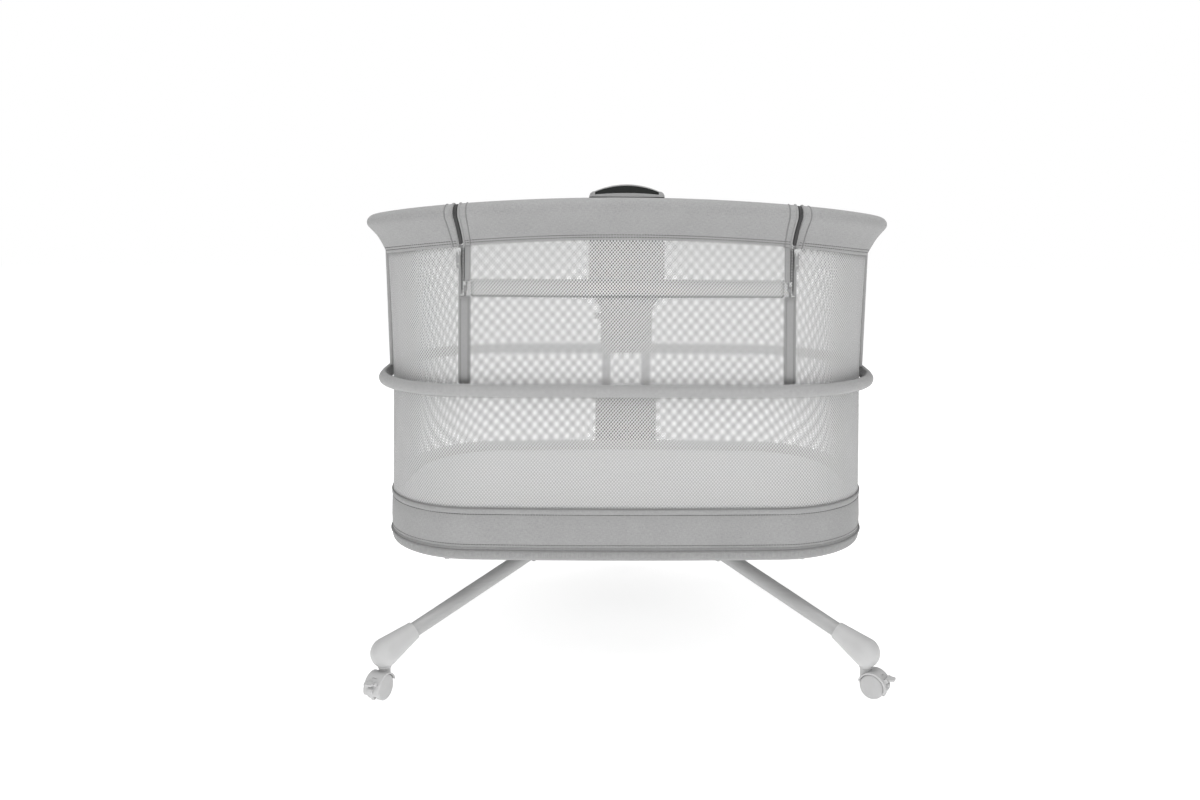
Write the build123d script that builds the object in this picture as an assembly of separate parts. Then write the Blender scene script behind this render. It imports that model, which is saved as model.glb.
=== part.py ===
from build123d import *
from math import atan2, cos, hypot, pi, radians, sin, sqrt
import os

os.makedirs("parts", exist_ok=True)

# Frame: millimetres, +Z up, front is -Y, origin on the floor under the centre of the stand.

# basket plan, measured on the outer face of the mesh wall
WALL_HALF_WIDTH = 427.0
WALL_HALF_DEPTH = 267.0
FRONT_RADIUS = 6000.0
SIDE_RADIUS = 900.0
CORNER_RADIUS = 170.0
BASKET_Y = -50.0

# heights
TRAY_BOTTOM = 213.0
TRAY_TOP = 236.0
MATTRESS_TOP = 286.0
BAND_TOP = 301.0
RING_Z = 500.0
STRIP_BOTTOM = 653.0
PIVOT_Z = 667.0
STRIP_TOP = 683.0
HEM_Z = 749.0
RAIL_Z = 804.5
RAIL_ARCH = 30.0

# basket shell
WALL_THICKNESS = 1.2
RAIL_OFFSET = 28.0
RAIL_TUBE_RADIUS = 12.5
RAIL_SLEEVE_RADIUS = 14.5
RING_OFFSET = 15.0
RING_TUBE_RADIUS = 8.5
RING_SLEEVE_RADIUS = 10.5
HEM_RADIUS = 2.2

# front flap
FLAP_HALF_WIDTH = 273.0
FIXED_HALF_WIDTH = 277.0
PIVOT_Y = -314.0
PIVOT_X = 268.0
PIVOT_PIN_RADIUS = 2.0
WALL_GAP = 12.0

# column
COLUMN_Y = 283.5
COLUMN_HALF_DEPTH = 21.5
COLUMN_TUBE_X = 44.0
COLUMN_TUBE_RADIUS = 10.0
COLUMN_TUBE_BOTTOM = 160.0
COLUMN_TUBE_TOP = 800.0
BLOCK_HALF_WIDTH = 67.5
BLOCK_BOTTOM = 150.0
BLOCK_TOP = 399.0
HOUSING_BOTTOM = 487.0
HOUSING_TOP = 831.0
HOUSING_NARROW = 57.0
HOUSING_WIDE = 83.5
SHOULDER_LOW = 572.0
SHOULDER_HIGH = 645.0
SHELL_WALL = 2.5
PIN_Z = 566.0
LIFT_TRAVEL = 180.0
RUNNING_GAP = 0.05

# head
HEAD_BOTTOM = 831.0
HEAD_TOP = 858.0
HEAD_HALF_WIDTH = 82.0
HEAD_FRONT = 226.0
HEAD_REAR = 312.0
PANEL_HALF_WIDTH = 69.5

# stand
LEG_RADIUS = 12.5
LEG_WALL = 1.6
LEG_INNER = (144.0, 128.0, 189.0)
LEG_OUTER = (360.0, 306.0, 91.0)
HUB_TOP = 209.0
HUB_BOTTOM = 158.0
FOOT_X = 396.0
FOOT_Y = 337.0
FOOT_Z = 70.0
FOOT_BOTTOM = 46.0
FOOT_RADIUS = 23.7
MOUTH_RADIUS = 15.0

# caster
WHEEL_RADIUS = 20.0
WHEEL_INNER = 3.2
WHEEL_OUTER = 13.4
TRAIL = 14.0
HEADINGS = {"front_left": 247.0, "front_right": -31.0, "rear_left": 113.0, "rear_right": 67.0}
AXLE_RADIUS = 3.0
HOOD_RADIUS = 23.5
PEDAL_PIVOT_X = 37.6
PEDAL_PIVOT_Z = 33.6


def corner_centre():
    """Centre of the corner arc that is tangent to the front arc and the side arc."""
    front_y = WALL_HALF_DEPTH - FRONT_RADIUS
    side_x = WALL_HALF_WIDTH - SIDE_RADIUS
    first = FRONT_RADIUS - CORNER_RADIUS
    second = SIDE_RADIUS - CORNER_RADIUS
    span = hypot(side_x, front_y)
    along = (first**2 - second**2 + span**2) / (2 * span)
    across = sqrt(first**2 - along**2)
    unit_x = side_x / span
    unit_y = -front_y / span
    options = []
    for sign in (1, -1):
        x = along * unit_x - sign * across * unit_y
        y = front_y + along * unit_y + sign * across * unit_x
        options.append((x, y))
    return max(options)


CORNER = corner_centre()


def quarter_points(grow, count):
    """Points from the middle of the rear edge to the middle of the right side."""
    front_y = WALL_HALF_DEPTH - FRONT_RADIUS
    side_x = WALL_HALF_WIDTH - SIDE_RADIUS
    corner_start = atan2(CORNER[1] - front_y, CORNER[0])
    corner_end = atan2(CORNER[1], CORNER[0] - side_x)
    arcs = [
        ((0.0, front_y), FRONT_RADIUS, pi / 2, corner_start, count[0]),
        (CORNER, CORNER_RADIUS, corner_start, corner_end, count[1]),
        ((side_x, 0.0), SIDE_RADIUS, corner_end, 0.0, count[2]),
    ]
    points = []
    for centre, radius, start, end, steps in arcs:
        for step in range(steps):
            angle = start + (end - start) * step / steps
            reach = radius + grow
            points.append((centre[0] + reach * cos(angle), centre[1] + reach * sin(angle)))
    points.append((WALL_HALF_WIDTH + grow, 0.0))
    return points


def oval_wire(grow):
    """Closed tangent-arc outline in the basket's own plane."""
    quarter = quarter_points(grow, (2, 2, 2))
    arcs = []
    for sx, sy in ((1, 1), (1, -1), (-1, -1), (-1, 1)):
        for index in (0, 2, 4):
            trio = [(sx * quarter[index + k][0], sy * quarter[index + k][1]) for k in range(3)]
            arcs.append(ThreePointArc(*trio))
    return Wire(arcs)


def oval_slab(grow, low, high):
    face = make_face(oval_wire(grow).edges())
    return Pos(0, BASKET_Y, low) * extrude(face, high - low)


def oval_band(grow_in, grow_out, low, high):
    return oval_slab(grow_out, low, high) - oval_slab(grow_in, low - 1, high + 1)


def block(x_low, x_high, y_low, y_high, z_low, z_high):
    size = (x_high - x_low, y_high - y_low, z_high - z_low)
    centre = ((x_low + x_high) / 2, (y_low + y_high) / 2, (z_low + z_high) / 2)
    return Pos(*centre) * Box(*size)


def rod(start, end, radius):
    """Round bar between two points."""
    start = Vector(*start)
    end = Vector(*end)
    plane = Plane(origin=start, z_dir=end - start)
    return extrude(plane * Circle(radius), (end - start).length)


def save(shape, node):
    export_step(shape, "parts/" + node + ".step")


def group(solids):
    return Compound(children=list(solids))


def mirrored_pair(shape):
    return [shape, mirror(shape, Plane.YZ)]


# ---------------------------------------------------------------- basket rail and ring
def rail_height(x):
    return RAIL_Z - RAIL_ARCH * (x / (WALL_HALF_WIDTH + RAIL_OFFSET)) ** 2


def rail_front_y(x):
    """The rail centreline's place along Y, at x on the front."""
    return FRONT_RADIUS - WALL_HALF_DEPTH - sqrt((FRONT_RADIUS + RAIL_OFFSET) ** 2 - x**2) + BASKET_Y


RAIL_STEPS = (4, 9, 5)


def outward_at(x):
    """Place on the front wall and the direction that points straight out of it."""
    y = FRONT_RADIUS - WALL_HALF_DEPTH - sqrt(FRONT_RADIUS**2 - x**2)
    return (x, y), (x / FRONT_RADIUS, -sqrt(1 - (x / FRONT_RADIUS) ** 2))


def flap_stations(x_limit, steps=10):
    return [outward_at(-x_limit + 2 * x_limit * step / steps) for step in range(steps + 1)]


def fixed_stations(x_limit):
    """Places round the wall from the right end of the flap's gap, by the back, to the left end."""
    quarter = []
    for (x, y), (far_x, far_y) in zip(quarter_points(0, RAIL_STEPS), quarter_points(1, RAIL_STEPS)):
        quarter.append(((x, y), (far_x - x, far_y - y)))
    front = [outward_at(x_limit)]
    front += [((x, -y), (nx, -ny)) for (x, y), (nx, ny) in quarter if x > x_limit + 4]
    rear = list(reversed(quarter))[1:]
    right = front + rear
    left = [((-x, y), (-nx, ny)) for (x, y), (nx, ny) in reversed(right[:-1])]
    return right + left


def along_rail(outline, stations):
    """Outline of (outward, up) points, measured from the rail's centre, carried from station to station."""
    sections = []
    for (x, y), (nx, ny) in stations:
        centre_x = x + nx * RAIL_OFFSET
        centre_y = y + ny * RAIL_OFFSET + BASKET_Y
        height = rail_height(centre_x)
        points = [(centre_x + nx * out, centre_y + ny * out, height + up) for out, up in outline]
        sections.append(make_face(Polyline(*points, close=True)))
    return loft(sections, ruled=True)


def round_outline(radius, start, end, steps):
    turn = (end - start) / steps
    return [(radius * cos(start + turn * k), radius * sin(start + turn * k)) for k in range(steps + 1)]


def tube_outline():
    """Rolled tube, open at its seam by a hair."""
    outer = round_outline(RAIL_TUBE_RADIUS, 0.01, 2 * pi - 0.01, 16)
    inner = round_outline(RAIL_TUBE_RADIUS - 1.5, 0.01, 2 * pi - 0.01, 16)
    return outer + inner[::-1]


def wrap_outline(big, small, hem_y):
    """Half of the sleeve's section: from the hem, over the rail, and back down to the hem."""
    hem_x = -RAIL_OFFSET + 0.6
    reach = hypot(hem_x, hem_y)
    tilt = atan2(hem_y, hem_x)
    open_angle = pi / 2 - atan2(big - small, sqrt(reach**2 - (big - small) ** 2))
    over = round_outline(big, tilt + open_angle, tilt - open_angle + 2 * pi, 12)
    near = (hem_x + small * cos(tilt + open_angle), hem_y + small * sin(tilt + open_angle))
    far = (hem_x + small * cos(tilt - open_angle), hem_y + small * sin(tilt - open_angle))
    return [near] + over + [far]


def sleeve_outline():
    """Fabric wrapped round the rail tube, its two edges meeting at the hem."""
    hem_y = HEM_Z + HEM_RADIUS - RAIL_Z
    outer = wrap_outline(RAIL_SLEEVE_RADIUS, HEM_RADIUS, hem_y)
    inner = wrap_outline(RAIL_TUBE_RADIUS + 0.6, 0.5, hem_y)
    return outer + inner[::-1]


fixed_tube = along_rail(tube_outline(), fixed_stations(FIXED_HALF_WIDTH + 4))
flap_tube = along_rail(tube_outline(), flap_stations(FLAP_HALF_WIDTH - 4))
fixed_sleeve = along_rail(sleeve_outline(), fixed_stations(FIXED_HALF_WIDTH))
flap_sleeve = along_rail(sleeve_outline(), flap_stations(FLAP_HALF_WIDTH))
save(fixed_tube, "rail_tube")


def ring_loop(radius):
    """Closed level bar round the basket at mid height."""
    wire = Pos(0, BASKET_Y, RING_Z) * oval_wire(RING_OFFSET)
    start = wire.edges()[0] @ 0
    plane = Plane(origin=start, x_dir=(0, 1, 0), z_dir=(1, 0, 0))
    return sweep(plane * Circle(radius), path=wire)


save(ring_loop(RING_TUBE_RADIUS) - ring_loop(RING_TUBE_RADIUS - 1.5), "ring_tube")
save(ring_loop(RING_SLEEVE_RADIUS) - ring_loop(RING_TUBE_RADIUS + 0.1), "ring_sleeve")


# ---------------------------------------------------------------- fabric walls, tray and mattress
def wall_profile(x_low, x_high, low):
    """Solid whose top follows the arched rail, used to trim the mesh panels."""
    points = [(-480.0, low), (480.0, low)]
    for step in range(25):
        x = 480.0 - 40.0 * step
        points.append((x, HEM_Z - 1.4 - RAIL_ARCH * (x / WALL_HALF_WIDTH) ** 2))
    profile = make_face(Polyline(*points, points[0]))
    slab = extrude(Plane.XZ * profile, 500, both=True)
    return slab & block(x_low, x_high, -420, 320, low - 1, 900)


wall = oval_band(-WALL_THICKNESS, 0, BAND_TOP, 760)
front = block(-500, 500, -420, BASKET_Y, 0, 900)
rear = block(-500, 500, BASKET_Y, 320, 0, 900)
lower_front = block(-500, 500, -420, BASKET_Y, 0, PIVOT_Z - WALL_GAP)
flap_bottom = PIVOT_Z + WALL_GAP
edge = FLAP_HALF_WIDTH - 3.5
side_edge = FLAP_HALF_WIDTH - 0.5
save(wall & wall_profile(side_edge, 480, BAND_TOP), "mesh_right")
save(wall & wall_profile(-480, -side_edge, BAND_TOP), "mesh_left")
save(wall & wall_profile(-side_edge, side_edge, BAND_TOP) & rear, "mesh_rear")
save(wall & wall_profile(-edge, edge, BAND_TOP) & lower_front, "mesh_front")
flap_wall = oval_band(-WALL_THICKNESS, 0, flap_bottom, 760) & front
save(flap_wall & wall_profile(-FLAP_HALF_WIDTH + 8, FLAP_HALF_WIDTH - 8, flap_bottom), "flap_mesh")

strip = oval_band(-3.2, -2.2, STRIP_BOTTOM, STRIP_TOP) & front
save(strip & block(-262, 262, -420, 0, 0, 900), "hinge_strip")

tray = oval_slab(0, TRAY_BOTTOM, TRAY_TOP)
tray = fillet(tray.edges().group_by(Axis.Z)[0], 8)
save(tray, "base_tray")
mattress = oval_slab(-5, TRAY_TOP, MATTRESS_TOP)
mattress = fillet(mattress.edges().group_by(Axis.Z)[-1], 9)
save(mattress, "mattress")
band_wall = oval_band(-WALL_THICKNESS, 0.4, TRAY_TOP, BAND_TOP)
save(band_wall, "fabric_band")
save(oval_band(0.6, 3.2, TRAY_TOP - 8, TRAY_TOP - 3), "bottom_piping")

# ---------------------------------------------------------------- zips, flap arms and posts
TAPE_INNER = 261.0
TAPE_OUTER = 280.5
tape_shell = oval_band(0.2, 1.2, RING_Z + RING_SLEEVE_RADIUS + 0.5, 760) & front


def tape_panel(x_low, x_high, low, high):
    panel = tape_shell & block(x_low, x_high, -420, BASKET_Y, low, high)
    return panel & wall_profile(x_low, x_high, low)


lower_tape = tape_panel(TAPE_INNER, TAPE_OUTER, RING_Z + RING_SLEEVE_RADIUS + 0.5, PIVOT_Z - WALL_GAP)
upper_tape = tape_panel(FLAP_HALF_WIDTH + 0.5, TAPE_OUTER, PIVOT_Z - WALL_GAP, 760)
save(group(mirrored_pair(lower_tape + upper_tape)), "zip_tapes")
flap_tape = tape_panel(TAPE_INNER, FLAP_HALF_WIDTH - 0.5, flap_bottom, 760)
save(group(mirrored_pair(flap_tape)), "flap_zip_tapes")

ARM_THICKNESS = 2.6


def flap_arm():
    """Flat bar from the pivot eye up into the flap's rail tube."""
    tube_y = rail_front_y(PIVOT_X)
    tube_z = rail_height(PIVOT_X)
    low_y = PIVOT_Y + 8.4
    side = make_face(Polyline(
        (PIVOT_Y, PIVOT_Z), (low_y, PIVOT_Z + 8), (low_y, HEM_Z - 14), (tube_y + 9, tube_z - 7),
        (tube_y + 2, tube_z - 11.5), (low_y - 4, HEM_Z - 14.5), (low_y - 4, PIVOT_Z + 8), (PIVOT_Y, PIVOT_Z)))
    eye = Pos(PIVOT_Y, PIVOT_Z) * Circle(4.6)
    bore = Pos(PIVOT_Y, PIVOT_Z) * Circle(PIVOT_PIN_RADIUS + RUNNING_GAP)
    profile = side + eye - bore
    return Pos(PIVOT_X - ARM_THICKNESS / 2, 0, 0) * extrude(Plane.YZ * profile, ARM_THICKNESS)


flap_arms = mirrored_pair(flap_arm())
for arm in flap_arms:
    flap_sleeve -= arm
    flap_tube -= arm
save(group(flap_arms), "flap_arms")
save(flap_tube, "flap_rail_tube")
save(flap_sleeve, "flap_rail_sleeve")


POST_BOTTOM = RING_Z - 8


def front_post():
    """Flat upright behind the zip tape, with the pivot pin at its top."""
    back = PIVOT_Y + 11.3
    profile = make_face(Polyline(
        (back - 6, POST_BOTTOM), (back, POST_BOTTOM), (back, PIVOT_Z), (back - 6, PIVOT_Z),
        (back - 6, POST_BOTTOM))) + Pos(PIVOT_Y + 1, PIVOT_Z) * Circle(5.2)
    plate = Pos(PIVOT_X + 1.9, 0, 0) * extrude(Plane.YZ * profile, 2.0)
    pin = rod((PIVOT_X - 2.6, PIVOT_Y, PIVOT_Z), (PIVOT_X + 2.5, PIVOT_Y, PIVOT_Z), PIVOT_PIN_RADIUS)
    return plate + pin


save(group(mirrored_pair(front_post())), "front_posts")

SLIDER_X = 280.0
SLIDER_TOP = 735.0
SLIDER_FRONT = -316.2
PULL_Z = 728.0
slider = block(SLIDER_X - 4, SLIDER_X + 4, SLIDER_FRONT, SLIDER_FRONT + 4, SLIDER_TOP - 13, SLIDER_TOP)
slider = fillet(slider.edges().filter_by(Axis.Y), 2)
lug = block(SLIDER_X - 1, SLIDER_X + 1, SLIDER_FRONT - 3.2, SLIDER_FRONT + 0.2, PULL_Z - 2, PULL_Z + 2)
slider_pin = rod((SLIDER_X - 3, SLIDER_FRONT - 2, PULL_Z), (SLIDER_X + 3, SLIDER_FRONT - 2, PULL_Z), 0.9)
slider = slider + lug + slider_pin
tab_outline = Pos(SLIDER_X, PULL_Z - 12.8) * RectangleRounded(6.8, 28.2, 2.8)
tab_window = Pos(SLIDER_X, PULL_Z - 1) * Rectangle(3.2, 8)
tab_hole = Pos(SLIDER_X, PULL_Z - 20) * Circle(1.5)
tab = extrude(Plane.XZ * (tab_outline - tab_window - tab_hole), 2.2)
tab = Pos(0, SLIDER_FRONT - 0.9, 0) * tab
tab = tab - rod((SLIDER_X - 5, SLIDER_FRONT - 2, PULL_Z), (SLIDER_X + 5, SLIDER_FRONT - 2, PULL_Z), 0.96)
save(slider, "zip_slider_right")
save(mirror(slider, Plane.YZ), "zip_slider_left")
save(tab, "zip_pull_right")
save(mirror(tab, Plane.YZ), "zip_pull_left")

# ---------------------------------------------------------------- side posts
POST_Y = -112.0
POST_X = 433.0
post = rod((POST_X, POST_Y, RING_Z + 12), (POST_X + 10, POST_Y, rail_height(POST_X) - 17), 5)
side_posts = mirrored_pair(post)
for post in side_posts:
    fixed_sleeve -= post
save(group(side_posts), "side_posts")
save(fixed_sleeve, "rail_sleeve")

# ---------------------------------------------------------------- upper column housing
housing_front_y = COLUMN_Y - COLUMN_HALF_DEPTH
housing_rear_y = COLUMN_Y + COLUMN_HALF_DEPTH


def housing_profile(inset):
    low = HOUSING_BOTTOM + inset
    high = HOUSING_TOP - inset
    narrow = HOUSING_NARROW - inset
    wide = HOUSING_WIDE - inset
    right = Polyline((0, low), (narrow, low), (narrow, SHOULDER_LOW))
    shoulder = Spline((narrow, SHOULDER_LOW), (wide, SHOULDER_HIGH), tangents=((0, 1), (0, 1)))
    top = Polyline((wide, SHOULDER_HIGH), (wide, high), (0, high), (0, low))
    half = make_face(right.edges() + shoulder.edges() + top.edges())
    return half + mirror(half, Plane.YZ)


outer = Pos(0, housing_rear_y, 0) * extrude(Plane.XZ * housing_profile(0), 2 * COLUMN_HALF_DEPTH)
inner_depth = 2 * (COLUMN_HALF_DEPTH - SHELL_WALL)
inner = Pos(0, housing_rear_y - SHELL_WALL, 0) * extrude(Plane.XZ * housing_profile(SHELL_WALL), inner_depth)
shell = outer - inner
for side in (1, -1):
    shell -= Pos(side * COLUMN_TUBE_X, COLUMN_Y, HOUSING_BOTTOM) * Cylinder(COLUMN_TUBE_RADIUS + 0.6, 20)
shell -= rod((-HOUSING_NARROW - 5, COLUMN_Y, PIN_Z), (-HOUSING_NARROW + 6, COLUMN_Y, PIN_Z), 2.5)
save(shell & block(-200, 200, 0, COLUMN_Y, 0, 900), "housing_front")
save(shell & block(-200, 200, COLUMN_Y, 400, 0, 900), "housing_rear")

bushes = []
for side in (1, -1):
    for low in (HOUSING_BOTTOM + SHELL_WALL, 700.0):
        half_width = HOUSING_NARROW - SHELL_WALL - COLUMN_TUBE_X if low < 600 else 14.0
        bush = block(-16, half_width, -COLUMN_HALF_DEPTH + SHELL_WALL, COLUMN_HALF_DEPTH - SHELL_WALL, 0, 16)
        bush = bush if side > 0 else mirror(bush, Plane.YZ)
        bush -= Cylinder(COLUMN_TUBE_RADIUS + RUNNING_GAP, 60)
        bushes.append(Pos(side * COLUMN_TUBE_X, COLUMN_Y, low) * bush)
save(group(bushes), "glide_bushes")

ring_rear_y = BASKET_Y + WALL_HALF_DEPTH + RING_OFFSET + RING_SLEEVE_RADIUS
save(block(-50, 50, ring_rear_y + 0.4, housing_front_y, RING_Z - 11, RING_Z + 13), "ring_bracket")
rail_rear_y = BASKET_Y + WALL_HALF_DEPTH + RAIL_OFFSET + RAIL_SLEEVE_RADIUS
save(block(-36, 36, rail_rear_y + 0.4, housing_front_y, RAIL_Z - 12, RAIL_Z + 12), "rail_bracket")

# ---------------------------------------------------------------- head and control panel
def dome_profile(inset):
    """Low dome seen from the front: round shoulders under one wide arc."""
    foot_x = HEAD_HALF_WIDTH - inset
    shoulder_x = foot_x - 12
    shoulder_z = HEAD_TOP - 15 - 0.9 * inset
    right_foot = Vector(foot_x, HEAD_BOTTOM)
    left_foot = Vector(-foot_x, HEAD_BOTTOM)
    left = ThreePointArc(left_foot, (-foot_x + 3, HEAD_BOTTOM + 8 - inset / 2), (-shoulder_x, shoulder_z))
    crown = ThreePointArc((-shoulder_x, shoulder_z), (0, HEAD_TOP - inset), (shoulder_x, shoulder_z))
    right = ThreePointArc((shoulder_x, shoulder_z), (foot_x - 3, HEAD_BOTTOM + 8 - inset / 2), right_foot)
    return make_face(left.edges() + crown.edges() + right.edges() + Line(right_foot, left_foot).edges())


def panel_profile():
    """Slender window under the dome's arc, with an arched lower edge."""
    low = HEAD_BOTTOM + 4.5
    high = HEAD_TOP - 17
    upper = ThreePointArc((-PANEL_HALF_WIDTH, high), (0, HEAD_TOP - 3), (PANEL_HALF_WIDTH, high))
    lower = ThreePointArc((PANEL_HALF_WIDTH, low), (0, low + 3.5), (-PANEL_HALF_WIDTH, low))
    right = Line((PANEL_HALF_WIDTH, high), (PANEL_HALF_WIDTH, low))
    left = Line((-PANEL_HALF_WIDTH, low), (-PANEL_HALF_WIDTH, high))
    return make_face(upper.edges() + right.edges() + lower.edges() + left.edges())


head_depth = HEAD_REAR - HEAD_FRONT
head = Pos(0, HEAD_REAR, 0) * extrude(Plane.XZ * dome_profile(0), head_depth)
head = fillet(head.faces().sort_by(Axis.Y)[0].edges().filter_by(GeomType.CIRCLE), 1.5)
head = fillet(head.faces().sort_by(Axis.Y)[-1].edges().filter_by(GeomType.CIRCLE), 5)
head_core = Pos(0, HEAD_REAR - 7, 0) * extrude(Plane.XZ * dome_profile(4), head_depth - 13)
recess = Pos(0, HEAD_FRONT + 3, 0) * extrude(Plane.XZ * panel_profile(), 5)
panel = Pos(0, HEAD_FRONT + 3, 0) * extrude(Plane.XZ * panel_profile(), 2.6)
save(head - head_core - recess, "head_dome")
save(panel, "control_panel")

# ---------------------------------------------------------------- height pin
knob = rod((-HOUSING_NARROW - 1, COLUMN_Y, PIN_Z), (-HOUSING_NARROW - 13, COLUMN_Y, PIN_Z), 7.5)
knob = fillet(knob.edges().filter_by(GeomType.CIRCLE), 1.5)
knob += rod((-HOUSING_NARROW - 2, COLUMN_Y, PIN_Z), (-COLUMN_TUBE_X - 9.2, COLUMN_Y, PIN_Z), 2.3)
save(knob, "height_pin")

# ---------------------------------------------------------------- lower column block and its tubes
column_tubes = []
tube_caps = []
for side in (1, -1):
    height = COLUMN_TUBE_TOP - COLUMN_TUBE_BOTTOM
    place = Pos(side * COLUMN_TUBE_X, COLUMN_Y, COLUMN_TUBE_BOTTOM + height / 2)
    tube = place * (Cylinder(COLUMN_TUBE_RADIUS, height) - Cylinder(COLUMN_TUBE_RADIUS - 1.5, height + 2))
    if side < 0:
        wall_x = -COLUMN_TUBE_X - COLUMN_TUBE_RADIUS
        tube -= block(wall_x - 2, wall_x + 6, COLUMN_Y - 3, COLUMN_Y + 3, PIN_Z - 3, PIN_Z + LIFT_TRAVEL + 4)
    column_tubes.append(tube)
    plug = Pos(side * COLUMN_TUBE_X, COLUMN_Y, COLUMN_TUBE_TOP)
    cap_top = Pos(0, 0, 1.5) * Cylinder(COLUMN_TUBE_RADIUS - 0.5, 3)
    cap_stem = Pos(0, 0, -6) * Cylinder(7.5, 12)
    tube_caps.append(plug * (cap_top + cap_stem))
save(group(column_tubes), "column_tubes")
save(group(tube_caps), "tube_caps")

block_outer = block(
    -BLOCK_HALF_WIDTH, BLOCK_HALF_WIDTH, housing_front_y, housing_rear_y, BLOCK_BOTTOM, BLOCK_TOP)
block_outer = fillet(block_outer.edges().filter_by(Axis.Z), 7)
block_inner = block(
    -BLOCK_HALF_WIDTH + 3, BLOCK_HALF_WIDTH - 3, housing_front_y + 3, housing_rear_y - 3,
    BLOCK_BOTTOM + 3, BLOCK_TOP - 3)
column_block = block_outer - block_inner
for low in (BLOCK_BOTTOM + 3, 262.0, BLOCK_TOP - 21):
    column_block += block(
        -BLOCK_HALF_WIDTH + 2, BLOCK_HALF_WIDTH - 2, housing_front_y + 2, housing_rear_y - 2, low, low + 18)
for side in (1, -1):
    centre_z = (COLUMN_TUBE_BOTTOM + BLOCK_TOP + 10) / 2
    bore_height = BLOCK_TOP + 10 - COLUMN_TUBE_BOTTOM
    bore = Cylinder(COLUMN_TUBE_RADIUS, bore_height)
    column_block -= Pos(side * COLUMN_TUBE_X, COLUMN_Y, centre_z) * bore
screw_places = [(0, BLOCK_TOP - 12), (0, BLOCK_BOTTOM + 12), (0, 271.0)]
screws = []
for x, z in screw_places:
    shaft = rod((x, COLUMN_Y - 12, z), (x, housing_rear_y - 2, z), 2.0)
    screw_head = rod((x, housing_rear_y - 2.2, z), (x, housing_rear_y + 0.2, z), 4.0)
    screws.append(shaft + screw_head)
    column_block -= shaft + screw_head
save(column_block & block(-200, 200, 0, COLUMN_Y, 0, 900), "column_block_front")
save(column_block & block(-200, 200, COLUMN_Y, 400, 0, 900), "column_block_rear")
save(group(screws), "column_screws")

# ---------------------------------------------------------------- hub, beam and legs
def leg_end(point, sx, sy):
    return (sx * point[0], sy * point[1], point[2])


def along_leg(distance, sx, sy):
    """Point on a leg's axis, measured outwards from the inner end."""
    start = Vector(*leg_end(LEG_INNER, sx, sy))
    end = Vector(*leg_end(LEG_OUTER, sx, sy))
    place = start + (end - start).normalized() * distance
    return (place.X, place.Y, place.Z)


LEG_LENGTH = (Vector(*LEG_OUTER) - Vector(*LEG_INNER)).length
CORNERS = [("front_left", -1, -1), ("front_right", 1, -1), ("rear_left", -1, 1), ("rear_right", 1, 1)]
SOCKET_DEPTH = 42.0

hub = Pos(0, 0, (HUB_TOP + HUB_BOTTOM) / 2) * Cylinder(78, HUB_TOP - HUB_BOTTOM)
arm_angle = atan2(LEG_INNER[1], LEG_INNER[0]) * 180 / pi
for turn in (arm_angle, -arm_angle):
    arm = Pos(0, 0, (HUB_TOP + HUB_BOTTOM + 8) / 2) * Rot(0, 0, turn) * Box(400, 60, HUB_TOP - HUB_BOTTOM - 8)
    hub += arm
hub += block(-34, 34, 60, 128, HUB_BOTTOM + 4, HUB_TOP)
hub = fillet(hub.edges().group_by(Axis.Z)[-1], 3)
hub = hub - Pos(0, 0, HUB_BOTTOM + 16) * Cylinder(66, 40)
hub_screws = []
for name, sx, sy in CORNERS:
    hub += rod(along_leg(-30, sx, sy), along_leg(SOCKET_DEPTH, sx, sy), LEG_RADIUS + 4.5)
    hub -= rod(along_leg(0, sx, sy), along_leg(SOCKET_DEPTH + 60, sx, sy), LEG_RADIUS)
hub &= block(-230, 230, -230, 230, 120, HUB_TOP)
BEAM_HALF_WIDTH = 25.0
BEAM_LOW = 166.0
BEAM_HIGH = 204.0
beam = block(-BEAM_HALF_WIDTH, BEAM_HALF_WIDTH, 78, housing_front_y, BEAM_LOW, BEAM_HIGH)
beam_hollow = block(-BEAM_HALF_WIDTH + 2, BEAM_HALF_WIDTH - 2, 70, 300, BEAM_LOW + 2, BEAM_HIGH - 2)
hub -= block(-BEAM_HALF_WIDTH, BEAM_HALF_WIDTH, 78, 200, BEAM_LOW, BEAM_HIGH)
cover = Pos(0, 0, HUB_BOTTOM - 1.2) * Cylinder(74, 2.4)
for turn in range(4):
    x = 70.5 * cos(radians(45 + 90 * turn))
    y = 70.5 * sin(radians(45 + 90 * turn))
    screw = Pos(x, y, HUB_BOTTOM + 5) * Cylinder(1.7, 14.8) + Pos(x, y, HUB_BOTTOM - 3.3) * Cylinder(3.4, 1.8)
    hub_screws.append(screw)
    hub -= screw
    cover -= screw
save(hub, "hub_shell")
save(cover, "hub_cover")
save(group(hub_screws), "hub_screws")
save(beam - beam_hollow, "rear_beam")


def foot(sx, sy):
    """Moulded elbow that turns the sloping leg into the upright caster stem."""
    mid = Vector(sx * FOOT_X, sy * FOOT_Y, FOOT_Z)
    mouth = Vector(*along_leg(LEG_LENGTH - 6, sx, sy))
    reach = (mid - mouth).length
    flare = (FOOT_RADIUS - MOUTH_RADIUS) / reach
    body = Pos(*mid) * Sphere(FOOT_RADIUS)
    height = reach - FOOT_RADIUS * flare
    cone = Pos(0, 0, height / 2) * Cone(MOUTH_RADIUS, FOOT_RADIUS * sqrt(1 - flare**2), height)
    body += Plane(origin=mouth, z_dir=mid - mouth) * cone
    body += rod((mid.X, mid.Y, FOOT_BOTTOM), (mid.X, mid.Y, FOOT_Z), 11.0)
    body -= rod(along_leg(0, sx, sy), along_leg(LEG_LENGTH + 24, sx, sy), LEG_RADIUS)
    body -= rod((mid.X, mid.Y, FOOT_BOTTOM - 1), (mid.X, mid.Y, FOOT_BOTTOM + 24), 5.05)
    return body & block(-480, 480, -480, 480, FOOT_BOTTOM, 300)


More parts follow.
